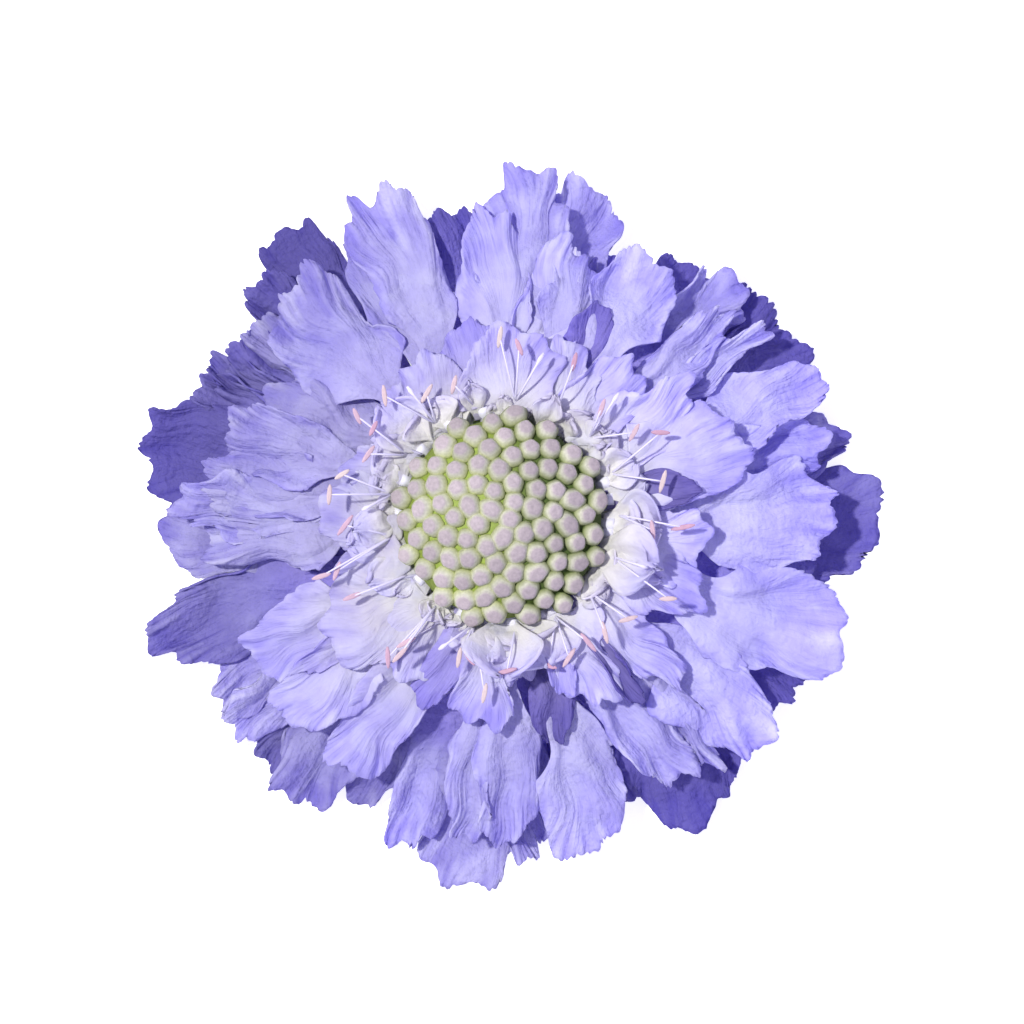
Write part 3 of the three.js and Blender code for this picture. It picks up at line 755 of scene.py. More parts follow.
def lobe_point(whorl, lobe, own, u, v):
    """A point of a lobe, mm, and its relief: u from claw to rim, v across from -1 to 1. Relief is 0 in a
    furrow and 1 on a ridge, and the finish paints shade in the furrows and light on the ridges with it."""
    length = lobe.reach - ROOT_R
    size = min(1, length / FULL_FORM_AT)
    along_rim = v * rim_length(lobe)
    seed = 50 * own(1)  # each form adds a number of its own, so that no two share their noise
    near_rim = smooth((u - 0.8) / 0.2)
    past_claw = smooth(u / 0.6)
    flat, outward = plan_point(lobe, whorl["neck"], own, u, v)
    flat.y += WARP * patchy(flat, WARP_WIDTH, seed + 60) * smooth(u / 0.4)
    flat += outward * teeth(own, along_rim, lobe.crumple) * near_rim * size

    far = math.hypot(flat.x - ROOT_R, flat.y)
    s = far / (HEAD_REACH - ROOT_R)
    free = smooth(s / 0.5)
    slope = whorl["rise"] * s - whorl["droop"] * smooth(s)
    folds = whorl["fold"] * size * math.sin(v * math.pi * (1.5 + own(1)) + 2 * math.pi * own(2))
    cup = (own(3) - 0.5) * v * v * u
    bend = BEND * (own(4) - 0.5) * free
    z = whorl["ring_z"] + RING_THICK / 2 + slope + lobe.lift * free + cup + (folds + bend) * u * u
    z += ROLL * (own(5) - 0.5) * flat.y * free
    lowest = LOWEST
    if whorl is OUTER and lobe.direction in RESTING:
        z = lerp(z, 0, smooth((far / length - SAG_FROM) / (REST_FROM - SAG_FROM)))
        lowest = LOWEST_RESTING

    across = along_rim + PLEAT_WANDER * ripple(2.2 * u, 1.5 * v, seed + 5)
    wave = WAVE_DEEP * ripple(across / WAVE_WIDTH, 1.6 * u, seed)
    soft = PLEAT_SOFT * ripple(across / PLEAT_WIDTH, 1.5 * u, seed + 7)
    sharp = PLEAT_SHARP * crease(0.7 * across / PLEAT_WIDTH, 1.2 * u, seed + 30)
    pleats = PLEAT_DEEP * lobe.crumple * (soft + sharp * (1 if own(4) > 0.4 else -1))
    crimps = CRIMP_DEEP * (0.4 + lobe.crumple) * crease(across / CRIMP_WIDTH, 3 * u, seed + 9)
    ruffle = RUFFLE_DEEP * (0.3 + lobe.crumple) * ripple(along_rim / RUFFLE_WIDTH, 4 * u, seed + 20)
    billow = BILLOW_DEEP * patchy(flat, BILLOW_WIDTH, seed + 40)
    crinkle = CRINKLE_DEEP * patchy(flat, CRINKLE_WIDTH, seed + 45)
    curl = CURL * (2 * own(6) - 1 + ripple(along_rim / 5, 0, seed + 50)) * smooth((u - 0.7) / 0.3) ** 2
    small = (pleats + crimps) * smooth((u - 0.6) / 0.4) + ruffle * near_rim + crinkle * past_claw
    fine = (wave * u + billow) * past_claw + small + curl
    z = max(z, lowest) + max(size * fine, LOWEST_RESTING - lowest)
    turn = math.radians(lobe.direction + SWING * (2 * own(4) - 1))
    x, y = flat
    point = Vector((x * math.cos(turn) - y * math.sin(turn), x * math.sin(turn) + y * math.cos(turn), z))
    return point, 0.5 + RELIEF * small + BILLOW_RELIEF * billow


# %% [markdown]
# ## From formula to mesh
#
# `create_grid` gives a flat square of faces from -1 to 1. Before its points move, each corner's place
# in the square goes into the UV map that the veins follow. Each point keeps four numbers for the
# finish: its lobe's tone and lightness, which carry painted shade and painted light, its whiteness,
# and its own relief, by which shade is painted into the furrows and light onto the ridges. A Solidify
# modifier gives the finished sheet its thickness. It could be done in the bmesh, but the modifier also
# fills the rim and carries the UV map over to it.

# %% Sheet helpers


def faces_of(verts):
    return {face for vert in verts for face in vert.link_faces}


def add_sheet(bm, rows, columns, ease=1.0, low=0.0, high=1.0):
    """A flat grid from -1 to 1, its claw at x = -1, added to a bmesh. The UV map, if there is one, gets
    U from claw to rim and V across, from low to high. An ease under 1 gathers the rows to the rim."""
    made = bmesh.ops.create_grid(bm, x_segments=rows, y_segments=columns, size=1)["verts"]
    uv = bm.loops.layers.uv.active
    for face in faces_of(made) if uv else ():
        for loop in face.loops:
            x, y, _ = loop.vert.co
            loop[uv].uv = (((x + 1) / 2) ** ease, lerp(low, high, (y + 1) / 2))
    return made


def thicken(piece, thickness):
    """Gives a sheet its thickness, mm, half on either side."""
    solid = piece.modifiers.new("thickness", "SOLIDIFY")
    solid.thickness = thickness * MM
    solid.offset = 0


# %% Lobe meshes
PETAL_THICK = 0.2
COLUMN_WIDTH = 0.23
MOST_COLUMNS = 100
LIGHT_LEAST = 0.9  # each lobe's own lightness, and how much more it may be
LIGHT_MORE = 0.14
# painted light and shade: the lobes on one side of the head are painted lighter and those on the other side
# darker, as the light falls across the head; lobes of tone over 1 are painted darker still, as if deep in
# shade, and the outer lobes are painted deep where the others shade them
SIDE_PAINTED_LIGHT = 0.12  # the lobes on one side of the head are paler
PAINTED_LIGHT_SIDE = -10
WHITE_MORE = 2.5  # what a tone under 0 adds to a lobe's white
SHADY = 0.5  # how much darker a lobe of tone 2 is than one of tone 1
DARK_TO_R = 22.5  # the outer lobes are deep blue where they lie in the others' shade
DARK_FADE = 5.0
ROWS_EASE = 0.65


def add_lobe(bm, whorl, number, rows):
    """One lobe's grid, added to a bmesh that holds several. A wider lobe has more columns."""
    lobe = whorl["lobes"][number]
    columns = round(min(MOST_COLUMNS, 2 * rim_length(lobe) / COLUMN_WIDTH))
    own = lambda k: draw(whorl["seed"] + 7 * number + k)
    layer = bm.verts.layers.float_color["lobe"]
    # painted light: lobes pointing to the right of the head are made lighter and those to the left darker;
    # a tone over 1 darkens a lobe further as painted shade
    side_painted_light = SIDE_PAINTED_LIGHT * math.cos(math.radians(lobe.direction - PAINTED_LIGHT_SIDE))
    light = (LIGHT_LEAST + LIGHT_MORE * own(6) + side_painted_light) * (1 - SHADY * max(0, lobe.tone - 1))
    white = whorl["white"] + WHITE_MORE * max(0, -lobe.tone)
    for vert in add_sheet(bm, rows, columns, ROWS_EASE):
        u = ((vert.co.x + 1) / 2) ** ROWS_EASE
        vert.co, relief = lobe_point(whorl, lobe, own, u, vert.co.y)
        tone = lobe.tone
        # painted shade: near the axis the outer lobes take the full deep tone, where the others shade them
        if whorl is OUTER:
            tone = lerp(1, tone, smooth((math.hypot(vert.co.x, vert.co.y) - DARK_TO_R) / DARK_FADE))
        vert[layer] = (min(1, max(0, tone)), light, white, min(1, max(0, relief)))


def new_petals():
    """A bmesh with the layers that the petals' finish reads."""
    bm = bmesh.new()
    bm.verts.layers.float_color.new("lobe")
    bm.loops.layers.uv.new("petal")
    return bm


def finish_florets(bm, name, whorl, *materials):
    """Writes a piece that stands for one whorl of ray florets."""
    return finish_piece(bm, name, materials, ["ray_florets_" + whorl["name"]])


def make_whorl(whorl, rows, pieces):
    """A whorl of lobes in a few pieces, each a run of neighbours."""
    count = len(whorl["lobes"])
    for part in range(pieces):
        bm = new_petals()
        for number in range(part * count // pieces, (part + 1) * count // pieces):
            add_lobe(bm, whorl, number, rows)
        piece = finish_florets(bm, f"{whorl['name']}_petals_{part + 1}", whorl, PETAL)
        thicken(piece, PETAL_THICK)


make_whorl(OUTER, rows=28, pieces=4)
make_whorl(MIDDLE, rows=28, pieces=4)
make_whorl(INNER, rows=22, pieces=2)

# %% [markdown]
# ## The disc
#
# The middle of the head is a dome of closed florets. They are packed as in a sunflower: each next
# bud turns by the golden angle and moves out with the square root of its number, so that every bud
# has the same room. A bud is a sphere from `create_uvsphere`, pinched to a foot below, flattened on
# top and made slightly five-sided, and then turned to stand square to the dome. The finish reads the
# height on a bud from an attribute: green at the foot, mauve on top, dark in the gaps on the shaded
# side.

# %% Bud finish
BUD_COLOURS = [  # from the foot of a bud to its top
    (0.2, (0.34, 0.44, 0.08)),
    (0.46, (0.54, 0.59, 0.26)),
    (0.66, (0.55, 0.56, 0.41)),
    (0.83, (0.43, 0.375, 0.36)),
]
DARK_GAP = (0.05, 0.09, 0.02, 1)
GAP_RANGE = (0.66, 0.4)  # the shade of a gap deepens down this stretch of a bud


def bud_material():
    """Reads a bud's height, its lightness and the shade of the gaps round it."""
    material, tree, shader = new_material("bud")
    height, light, gap, _ = attribute_parts(tree, "bud")
    speckle = mottle(tree, 0.3, 0.3)
    colour = times(tree, times(tree, ramp(tree, height, BUD_COLOURS), speckle), light)
    shade = maths(tree, "MULTIPLY", remap(tree, height, *GAP_RANGE), gap)
    colour = mix_colours(tree, shade, colour, DARK_GAP)
    normal = bumps(tree, speckle, 0.12, 0.6)
    set_inputs(shader, {"Base Color": colour, "Normal": normal})
    set_inputs(shader, {"Roughness": 0.6, "Specular IOR Level": 0.3})
    return material


BUD = bud_material()

# %% Dome and bud shapes
DISC_NECK_R = 8.5
DISC_EDGE_R = 9.8
DISC_RISE = 2.6
DISC_EDGE_Z = RINGS_TOP + RING_GAP + 0.7
DISC_SHIFT = Vector((-0.3, -0.4, 0))  # the dome stands a little off the petals' middle
BUDS = 88
BUD_R = 1.17
BUD_CORNERS = 0.045
BUD_CAP = 0.6  # the cap's radius, as a share of the bud's
CAP_FROM = 0.45  # the sphere's z at the cap's edge, and its radius there
CAP_EDGE = 0.89
WAIST = 0.8  # the foot's width
WIDEST_AT = 0.6  # the share of the flank where it is widest
BUD_LONGEST = 0.3  # how much longer than wide the longest buds are, as a share
BUD_TALL = 1.15
BUD_SUNK = 1.2
BUD_FIELD_R = 10.2
GOLDEN_ANGLE = math.pi * (3 - math.sqrt(5))


def dome_z(r):
    return DISC_EDGE_Z + DISC_RISE * (1 - (r / DISC_EDGE_R) ** 2)


def dome_slope(r):
    return math.atan2(2 * DISC_RISE * r, DISC_EDGE_R**2)


def bud_profile(z):
    """How far a bud's skin stands from its axis, in bud radii, and at what height, for a sphere's z."""
    if z > CAP_FROM:
        share = math.sqrt(1 - min(z, 1) ** 2) / CAP_EDGE
        dimple = 0.09 * math.exp(-((share / 0.3) ** 2))
        return BUD_CAP * share, BUD_TALL * (1 - 0.14 * share**2 - dimple)
    flank = (z + 1) / 1.5
    if flank < WIDEST_AT:
        swell = lerp(WAIST, 1, smooth(flank / WIDEST_AT))
    else:
        swell = lerp(1, BUD_CAP, smooth((flank - WIDEST_AT) / (1 - WIDEST_AT)))
    return swell * min(1, math.sqrt(max(0, 1 - z * z)) * 3), lerp(-BUD_SUNK, 0.86 * BUD_TALL, flank)


# %% Buds on their dome


def gap_shade(x):
    """How dark the gaps are, from 0 to 1: they darken to the right, where the dome turns from the light."""
    return 0.15 + 0.75 * smooth((x + 2) / 6)


def add_bud(bm, number):
    """One closed floret, standing square to the dome."""
    layer = bm.verts.layers.float_color["bud"]
    r = BUD_FIELD_R * math.sqrt((number + 0.5) / BUDS)
    size = BUD_R * (0.92 + 0.16 * draw(number + 700))
    turn = 6 * draw(number + 720)
    made = bmesh.ops.create_uvsphere(bm, u_segments=18, v_segments=12, radius=1)["verts"]
    light = 0.85 + 0.24 * draw(number + 740)
    longer = 1 + BUD_LONGEST * draw(number + 760) ** 3
    shaded = gap_shade(r * math.cos(number * GOLDEN_ANGLE))
    for vert in made:
        x, y, z = vert.co
        around = math.atan2(y, x)
        out, height = bud_profile(z)
        out *= size * (1 + BUD_CORNERS * math.cos(5 * around + turn) * (1 - z**4))
        vert[layer] = ((z + 1) / 2, light, shaded, 1)
        vert.co = (out * math.cos(around) * longer, out * math.sin(around), height)
    bmesh.ops.rotate(bm, verts=made, matrix=Matrix.Rotation(turn, 3, "Z"))
    place = (
        Matrix.Rotation(number * GOLDEN_ANGLE, 4, "Z")
        @ Matrix.Translation((r, 0, dome_z(r)))
        @ Matrix.Rotation(1.2 * dome_slope(r), 4, "Y")
    )
    bmesh.ops.transform(bm, matrix=place, verts=made)


def spin_profile(bm, profile, steps):
    """A closed round solid from (radius, height) points that start and end on the axis."""
    verts = [bm.verts.new((r, 0, z)) for r, z in profile]
    edges = [bm.edges.new(pair) for pair in zip(verts, verts[1:])]
    whole = dict(cent=(0, 0, 0), axis=(0, 0, 1), angle=2 * math.pi, steps=steps, use_merge=True)
    bmesh.ops.spin(bm, geom=verts + edges, **whole)
    bmesh.ops.remove_doubles(bm, verts=bm.verts, dist=0.001)
    bmesh.ops.recalc_face_normals(bm, faces=bm.faces)


def make_disc():
    """The dome under the buds, spun from its profile, and the buds."""
    bm = bmesh.new()
    layer = bm.verts.layers.float_color.new("bud")
    low, high = RING_Z[0], RINGS_TOP + RING_GAP
    profile = [(0, low), (DISC_NECK_R, low), (DISC_NECK_R, high), (DISC_EDGE_R, DISC_EDGE_Z)]
    profile += [(share * DISC_EDGE_R, dome_z(share * DISC_EDGE_R)) for share in (0.75, 0.5, 0.25, 0)]
    spin_profile(bm, profile, 32)
    for vert in bm.verts:
        vert[layer] = (0.05, 1, gap_shade(vert.co.x), 1)
    for number in range(BUDS):
        add_bud(bm, number)
    bmesh.ops.translate(bm, verts=bm.verts, vec=DISC_SHIFT)
    finish_piece(bm, "disc_florets", [BUD], ["disc_buds"])


make_disc()

# %% [markdown]
# ## Tubes
#
# Several of the flower's parts are slim round rods: floret tubes, filaments, the stem. A curve object
# with a bevel would make one too. Here a small circle is extruded from point to point instead, and
# each new ring is turned and scaled to its place, because then the rods of a whole ring of florets
# are one mesh and each may swell or taper as it likes.

# %% Tube helper


def swept_frames(points, radii):
    """A matrix for each point that turns a unit circle square to the path there, without twisting it."""
    frames = []
    turn = (points[1] - points[0]).to_track_quat("Z", "X")
    heading = (points[1] - points[0]).normalized()
    for number, (point, radius) in enumerate(zip(points, radii)):
        before = points[max(number - 1, 0)]
        after = points[min(number + 1, len(points) - 1)]
        new_heading = (after - before).normalized()
        turn = heading.rotation_difference(new_heading) @ turn
        heading = new_heading
        frames.append(Matrix.Translation(point) @ turn.to_matrix().to_4x4() @ Matrix.Scale(radius, 4))
    return frames


def add_tube(bm, points, radii, sides, ribs=0, rib_deep=0):
    """A closed tube through points, with a radius at each. It may have ribs, as deep as a share of that."""
    frames = swept_frames(points, radii)
    first = bmesh.ops.create_circle(bm, cap_ends=True, segments=sides, radius=1)["verts"]
    for vert in first:
        vert.co *= 1 + rib_deep * math.cos(ribs * math.atan2(vert.co.y, vert.co.x))
    bmesh.ops.transform(bm, matrix=frames[0], verts=first)
    made = list(first)
    edges = list({edge for vert in first for edge in vert.link_edges})
    for before, after in zip(frames, frames[1:]):
        new = bmesh.ops.extrude_edge_only(bm, edges=edges)["geom"]
        ring = [item for item in new if isinstance(item, bmesh.types.BMVert)]
        edges = [item for item in new if isinstance(item, bmesh.types.BMEdge)]
        bmesh.ops.transform(bm, matrix=after @ before.inverted(), verts=ring)
        edges = [edge for edge in edges if edge.verts[0] in ring and edge.verts[1] in ring]
        made += ring
    bmesh.ops.holes_fill(bm, edges=edges)
    bmesh.ops.recalc_face_normals(bm, faces=list(faces_of(made)))
    return made


def polar(r, degrees, z):
    """A point in mm at a distance and direction from the head's axis."""
    a = math.radians(degrees)
    return Vector((r * math.cos(a), r * math.sin(a), z))


def bezier(a, b, c, steps):
    """Points along a bent line from a to c that heads for b."""
    shares = [n / steps for n in range(steps + 1)]
    return [a.lerp(b, t).lerp(b.lerp(c, t), t) for t in shares]


# %% [markdown]
# ## The stem
#
# The stem carries the head, bends under it and lies along the surface to its cut end. A real one is
# ribbed, a little hairy, and swells where it meets the head. It is one tube along a path of a few
# points: straight down, round the bend and out. At the cut the tube turns in on itself, so that the
# rim of skin stands a little proud of the pale pith.

# %% Green finish
STEM_GREENS = [(0.0, (0.20, 0.30, 0.09)), (0.5, (0.30, 0.40, 0.15)), (1.0, (0.62, 0.68, 0.42))]


def green_material():
    """Green skin that pales to pith with the attribute "green"."""
    material, tree, shader = new_material("green_skin")
    age = add(tree, "Attribute", attribute_name="green").outputs["Fac"]
    colour = times(tree, ramp(tree, age, STEM_GREENS), mottle(tree, 2.5, 0.16))
    normal = bumps(tree, mottle(tree, 0.3, 0.5), 0.05, 0.5)
    set_inputs(shader, {"Base Color": colour, "Normal": normal, "Roughness": 0.6})
    return material


GREEN = green_material()

# %% Stem
STEM_R = 1.2
STEM_Z = 1.3
STEM_BEND_R = 4.6
STEM_END = 23.0  # from the head's axis
STEM_DIRECTION = 339
STEM_RIBS = 8
STEM_RIB_DEEP = 0.05
STEM_SWELL = 0.35  # how much thicker the stem is under the head, as a share
STEM_CUT = [(0.05, 0.9), (-0.12, 0.8), (-0.18, 0.4)]  # steps on from its end, mm, and shares of its radius
PITH_R = 0.85  # as a share of the stem's radius


def stem_path():
    """Points from under the receptacle, down, round the bend and out to the cut."""
    top = Vector((0, 0, RECEPTACLE_Z))
    bend = Vector((0, 0, STEM_Z + STEM_BEND_R))
    corner = Vector((0, 0, STEM_Z))
    out = polar(STEM_BEND_R, STEM_DIRECTION, STEM_Z)
    end = polar(STEM_END, STEM_DIRECTION, STEM_Z)
    points = [top] + bezier(bend, corner, out, 9)
    for n in range(1, 15):
        point = out.lerp(end, n / 14)
        points.append(point + Vector((0.15 * math.sin(0.5 * n), 0.12 * math.sin(0.4 * n), 0)))
    return points


def make_stem():
    bm = bmesh.new()
    age = bm.verts.layers.float.new("green")
    points = stem_path()
    radii = [STEM_R * (1 + STEM_SWELL * smooth(1 - n / 4)) for n in range(len(points))]
    heading = (points[-1] - points[-2]).normalized()
    for step, share in STEM_CUT:
        points.append(points[-1] + step * heading)
        radii.append(STEM_R * share)
    cut = polar(STEM_END, STEM_DIRECTION, STEM_Z)
    for vert in add_tube(bm, points, radii, 48, STEM_RIBS, STEM_RIB_DEEP):
        near_cut = (vert.co - cut).length < PITH_R * STEM_R
        vert[age] = 1.0 if near_cut else 0.25 + 0.3 * ripple(*(0.4 * vert.co))
    finish_piece(bm, "stem_skin", [GREEN], ["stem"])


make_stem()

# %% [markdown]
# ## Receptacle and bracts
#
# The florets sit on a shallow green cup with a dozen narrow, pointed bracts round it, which lie under
# the petals. The cup is spun from its profile, as the disc's dome is. Each bract is a grid with a keel
# along its middle. Hairs could be added, but they would be too fine to see at this size. A few tips
# are long enough to show in the gaps between petals.

# %% Receptacle and bracts
BRACTS = [
    (349, 28.6), (22, 25.4), (52, 27.0), (81, 25.8), (110, 26.2), (138, 26.8),
    (165, 25.6), (193, 28.4), (226, 28.6), (256, 26.0), (287, 26.8), (317, 25.4),
]
BRACT_ROOT_R = 6.4
BRACT_UP = 0.55
BRACT_HALF_WIDTH = 1.7
BRACT_DROOP = 5.6
BRACT_KEEL = 0.35
BRACT_THICK = 0.35


def point_to(bm, verts, direction):
    """Turns what points along +X to a direction in degrees."""
    bmesh.ops.rotate(bm, verts=verts, matrix=Matrix.Rotation(math.radians(direction), 3, "Z"))


def add_bract(bm, number, direction, reach):
    age = bm.verts.layers.float["green"]
    made = add_sheet(bm, 26, 10)
    twist = 0.5 * (draw(number + 620) - 0.5)
    for vert in made:
        u, v = (vert.co.x + 1) / 2, vert.co.y
        half = BRACT_HALF_WIDTH * (0.75 + 0.9 * u) * (1 - u**3) + 0.06
        keel = BRACT_KEEL * (1 - abs(v)) * (1 - u)
        z = RECEPTACLE_Z + BRACT_UP - BRACT_DROOP * u * u - keel + twist * v * u
        z += 0.2 * ripple(3 * u, v, number)
        vert[age] = 0.35 + 0.25 * ripple(4 * v, u, number) - 0.2 * u
        vert.co = (lerp(BRACT_ROOT_R, reach, u), v * half + 0.8 * twist * u * u, z)
    point_to(bm, made, direction)


def make_bracts():
    bm = bmesh.new()
    bm.verts.layers.float.new("green")
    for number, (direction, reach) in enumerate(BRACTS):
        add_bract(bm, number, direction, reach)
    thicken(finish_piece(bm, "bract_blades", [GREEN], ["involucre"]), BRACT_THICK)


def make_receptacle():
    """The cup, spun round the axis from a short profile."""
    bm = bmesh.new()
    age = bm.verts.layers.float.new("green")
    profile = [(0, 0.1), (2.2, 0), (5.4, 0.15), (7.9, 0.7), (RECEPTACLE_R, 1.1)]
    profile += [(8.2, RECEPTACLE_THICK), (0, RECEPTACLE_THICK)]
    spin_profile(bm, [(r, RECEPTACLE_Z + up) for r, up in profile], 48)
    for vert in bm.verts:
        vert[age] = 0.35
    finish_piece(bm, "receptacle_cup", [GREEN], ["involucre"])


make_bracts()
make_receptacle()

# %% [markdown]
# ## Floret tubes
#
# Every ray floret is a tube before it opens into lobes. From the side or from below, the tubes show
# as a tight palisade between the cup and the petals. Each lobe gets one, from the cup's edge up to
# its whorl's height and out into its claw.

# %% Floret tubes
TUBE_FOOT_R = 8.75
TUBE_R = 0.5
TUBE_COLOUR = [(0.0, (0.50, 0.56, 0.28)), (1.0, (0.78, 0.78, 0.86))]


def tube_material():
    """Green at the cup, pale where the petals start."""
    material, tree, shader = new_material("floret_tube")
    place = add(tree, "TexCoord").outputs["Object"]
    height = add(tree, "SeparateXYZ", {0: place}).outputs["Z"]
    share = remap(tree, height, RECEPTACLE_Z * MM, RINGS_TOP * MM)
    colour = times(tree, ramp(tree, share, TUBE_COLOUR), mottle(tree, 1.2, 0.12))
    set_inputs(shader, {"Base Color": colour, "Roughness": 0.55})
    return material


TUBE = tube_material()


def make_tubes(whorl):
    bm = bmesh.new()
    for lobe in whorl["lobes"]:
        top = whorl["ring_z"] + RING_THICK / 2
        foot = polar(TUBE_FOOT_R, lobe.direction, RECEPTACLE_Z + RECEPTACLE_THICK - 0.3)
        bend = polar(TUBE_FOOT_R + 0.3, lobe.direction, top)
        mouth = polar(RING_OUTER_R + 0.5, lobe.direction, top + 0.1)
        add_tube(bm, bezier(foot, bend, mouth, 7), [TUBE_R * (0.8 + 0.08 * n) for n in range(8)], 10)
    finish_florets(bm, whorl["name"] + "_tubes", whorl, TUBE)


for whorl in (OUTER, MIDDLE, INNER):
    make_tubes(whorl)

# %% [markdown]
# ## The throats of the ray florets
#
# Round the disc each ray floret opens its white throat, and the small lobes on its inner side rise
# there in tufts and bend over. Each lobe is a little grid bent along an arc: it leaves the throat at
# a slope and flattens on its way out, with folds, a toothed end and sides that cup. The tufts' places
# and sizes are a list, because they follow no rule.

# %% Curled throat lobes
THROATS = 17
CURLED = [  # direction of a tuft and its size
    (353, 1.2), (21, 0.7), (42, 0.85), (62, 0.6), (84, 0.5), (104, 0.55),
    (123, 1.05), (143, 1.1), (163, 0.8), (182, 0.85), (202, 0.7), (222, 0.45),
    (241, 0.6), (262, 1.05), (281, 1.2), (300, 0.5), (320, 0.5), (339, 0.9),
]
CURLS_EACH = 3
CURL_ROOT_R = 9.9
CURL_ROOT_Z = RINGS_TOP - 1.0
CURL_TOOTH = 0.5
CURL_FOLD = 1.0
CURL_THICK = 0.22
CURL_SPREAD = 7  # degrees from one lobe of a tuft to the next


def curl_point(own, u, v):
    """A point of a curled lobe that grows from the origin towards +X."""
    length = 2.8 + 5.0 * own(0) ** 2
    half = 1.0 + 1.7 * own(1)
    steep = math.radians(10 + 40 * own(2))  # its slope at the root, and how far it turns over
    over = math.radians(7 + 17 * own(3))
    seed = 60 * own(7)
    oval = math.sqrt(max(0.03, 1 - max(0, (u - 0.55) / 0.45) ** 2.4))
    wide = half * (0.4 + 0.9 * smooth(u / 0.7)) * oval
    tooth = CURL_TOOTH * (ripple(4.5 * v, seed, 0) + 0.5 * ripple(11 * v, seed, 1))
    along = u * (1 + tooth * smooth((u - 0.6) / 0.4) / length * 2)
    angle = steep - over * along
    x = length / over * (math.sin(steep) - math.sin(angle))
    z = length / over * (math.cos(angle) - math.cos(steep))
    folds = 0.7 * crease(0.9 * v, 0.8 * u, seed) + 0.7 * ripple(1.8 * v, 1.4 * u, seed + 5)
    lift = (own(4) - 0.4) * v * v * wide + CURL_FOLD * folds * smooth(u / 0.6)
    return Vector((x - lift * math.sin(angle), v * wide, z + lift * math.cos(angle)))


def add_curl(bm, throat, number):
    """One small curled lobe of one tuft."""
    own = lambda k: draw(2000 + 31 * throat + 11 * number + k)
    layer = bm.verts.layers.float_color["lobe"]
    made = add_sheet(bm, 18, 22, low=0.35, high=0.65)
    middle, size = CURLED[throat]
    for vert in made:
        point = size * curl_point(own, (vert.co.x + 1) / 2, vert.co.y)
        vert[layer] = (0, 0.96 + 0.12 * own(8), 1, 0.5)
        vert.co = point + Vector((CURL_ROOT_R + 0.5 * own(9), 0, CURL_ROOT_Z))
    point_to(bm, made, middle + 8 * (own(5) - 0.5) + CURL_SPREAD * (number - 1))


def make_throats():
    bm = new_petals()
    for throat in range(len(CURLED)):
        for number in range(CURLS_EACH):
            add_curl(bm, throat, number)
    bmesh.ops.translate(bm, verts=bm.verts, vec=DISC_SHIFT)
    thicken(finish_florets(bm, "throat_lobes", INNER, PETAL), CURL_THICK)


make_throats()

# %% [markdown]
# ## Stamens and styles
#
# Each throat holds up to four slim white filaments, which arch out over the petals and carry a
# pink to cream anther across their end. A few end in the pale round stigma of a style instead. The
# places of the anthers are a list, because they are scattered by growth and not by a rule, and each
# filament starts from the throat nearest to its anther.

# %% Filament and anther finish
ANTHER_COLOURS = [
    (0.0, (0.52, 0.30, 0.38)),
    (0.3, (0.58, 0.40, 0.46)),
    (0.7, (0.62, 0.48, 0.46)),
    (1.0, (0.66, 0.57, 0.50)),
]


# painted shade: the white filaments are given the darker lavender they show in the petals' shade
FILAMENT_IN_SHADE_COLOUR = (0.74, 0.72, 0.86)


def filament_material():
    material, tree, shader = new_material("filament")
    colour = times(tree, FILAMENT_IN_SHADE_COLOUR, mottle(tree, 1.5, 0.06))
    set_inputs(shader, {"Base Color": colour, "Roughness": 0.45})
    return material


def anther_material():
    material, tree, shader = new_material("anther")
    tint = add(tree, "Attribute", attribute_name="anther").outputs["Fac"]
    colour = times(tree, ramp(tree, tint, ANTHER_COLOURS), mottle(tree, 0.4, 0.15))
    set_inputs(shader, {"Base Color": colour, "Roughness": 0.7})
    return material


# %% Stamens in place
ANTHERS = [
    (-0.5, 17.5), (1.4, 16.5), (6.8, 15.0), (9.5, 10.5), (12.7, 8.1), (15.3, 8.1),
    (15.5, 3.3), (17.5, -1.2), (14.5, -1.5), (16.0, -8.2), (12.1, -10.2), (9.8, -11.5),
    (8.2, -12.5), (6.3, -14.0), (4.3, -14.8), (0.2, -15.3), (-2.0, -17.5), (-3.5, -14.0),
    (-4.5, -14.0), (-9.7, -12.5), (-10.3, -13.7), (-11.5, -14.0), (-15.0, -8.0), (-16.5, -5.5),
    (-18.0, -6.0), (-15.7, -1.0), (-17.2, 2.0), (-16.0, 4.0), (-13.4, 6.0), (-12.9, 8.5),
    (-14.5, 9.7), (-11.8, 11.7), (-7.7, 11.9), (-5.0, 12.8),
]
STIGMAS = [(3.8, 15.9), (11.2, 12.0), (14.0, -5.2), (-6.5, -13.2), (-14.0, 0.5), (-9.6, 12.6)]
FILAMENT_R = 0.1
ANTHER_LONG = 1.1  # half its length
THROAT_R = 11.2


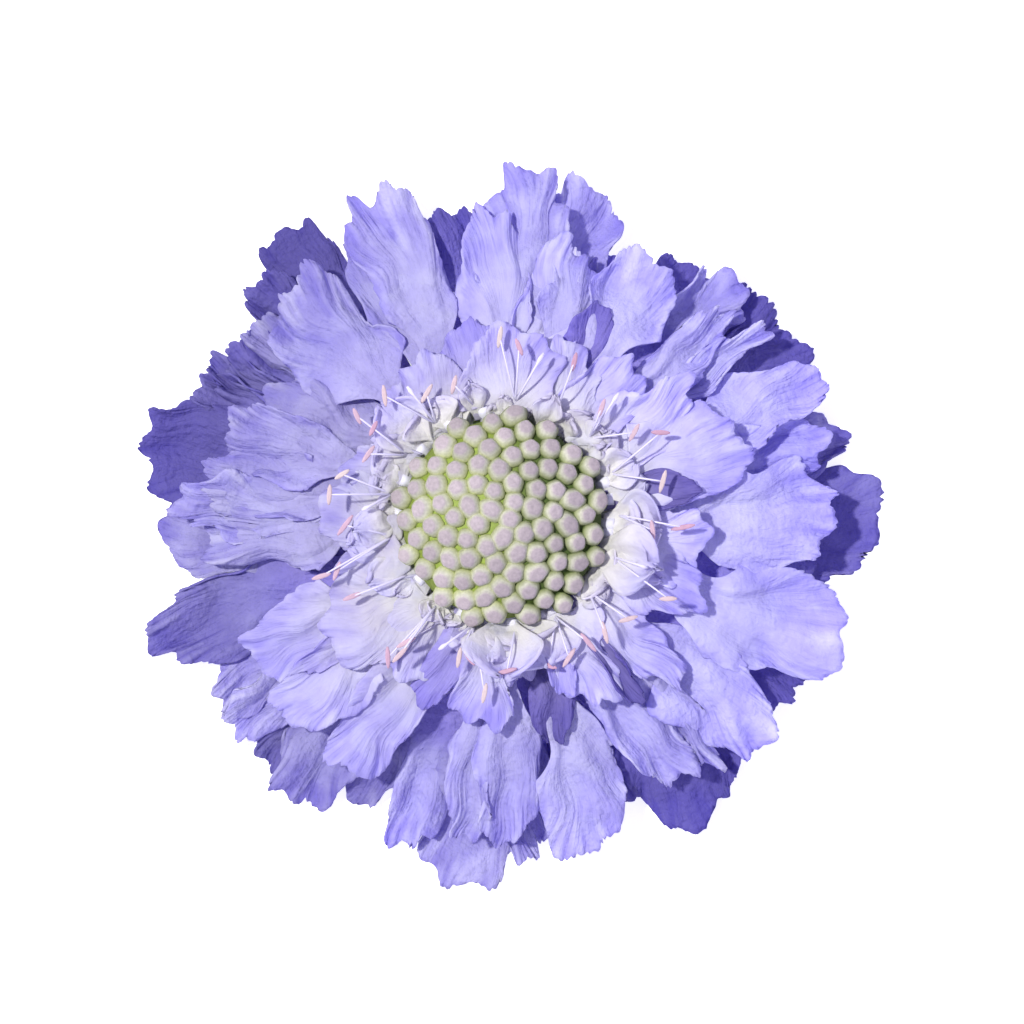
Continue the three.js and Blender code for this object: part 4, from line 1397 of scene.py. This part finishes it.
def filament_path(x, y, rise):
    """From the nearest throat up and out to a place over the petals."""
    step = 360 / THROATS
    throat = step * round(math.degrees(math.atan2(y, x)) / step)
    start = polar(THROAT_R, throat, RINGS_TOP - 0.6)
    end = Vector((x, y, RINGS_TOP + rise))
    over = start.lerp(end, 0.45)
    over.z = end.z + 0.8
    return bezier(start, over, end, 9)


def add_stamen(bm, number, x, y):
    tint = bm.verts.layers.float["anther"]
    path = filament_path(x, y, 1.6 + 2.4 * draw(number + 800))
    add_tube(bm, path, [lerp(1.3, 0.8, n / 9) * FILAMENT_R for n in range(10)], 6)
    made = bmesh.ops.create_uvsphere(bm, u_segments=10, v_segments=8, radius=1)["verts"]
    shade = draw(number + 820)
    long = ANTHER_LONG * (0.8 + 0.4 * draw(number + 840))
    for vert in made:
        px, py, pz = vert.co
        groove = 1 - 0.35 * math.exp(-((py / 0.25) ** 2)) * (pz > 0)
        vert.co = (long * px, 0.26 * py, 0.24 * pz * groove)
        vert[tint] = shade
    for face in faces_of(made):
        face.material_index = 1
    turn = Matrix.Rotation(math.pi * draw(number + 860), 4, "Z")
    tip = Matrix.Rotation(0.6 * (draw(number + 880) - 0.5), 4, "Y")
    bmesh.ops.transform(bm, matrix=Matrix.Translation(path[-1]) @ turn @ tip, verts=made)


def make_stamens():
    bm = bmesh.new()
    bm.verts.layers.float.new("anther")
    for number, (x, y) in enumerate(ANTHERS):
        add_stamen(bm, number, x, y)
    for number, (x, y) in enumerate(STIGMAS):
        path = filament_path(x, y, 2.0 + 2.0 * draw(number + 900))
        radii = [FILAMENT_R * 1.2] * 8 + [2.4 * FILAMENT_R, 1.2 * FILAMENT_R]
        add_tube(bm, path, radii, 8)
    finish_florets(bm, "stamens", INNER, filament_material(), anther_material())


make_stamens()

# %% [markdown]
# ## Size and hand-over
# The last cell counts the triangles of every mesh, with its modifiers, and prints the sum.
# The dressed flower must fill the same box as the plain solids.

# %% Triangle count
import json

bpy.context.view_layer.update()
depsgraph = bpy.context.evaluated_depsgraph_get()
triangles = 0
for item in bpy.context.scene.objects:
    if item.type == "MESH":
        triangles += sum(len(face.vertices) - 2 for face in item.evaluated_get(depsgraph).data.polygons)
print("triangles in all:", triangles)
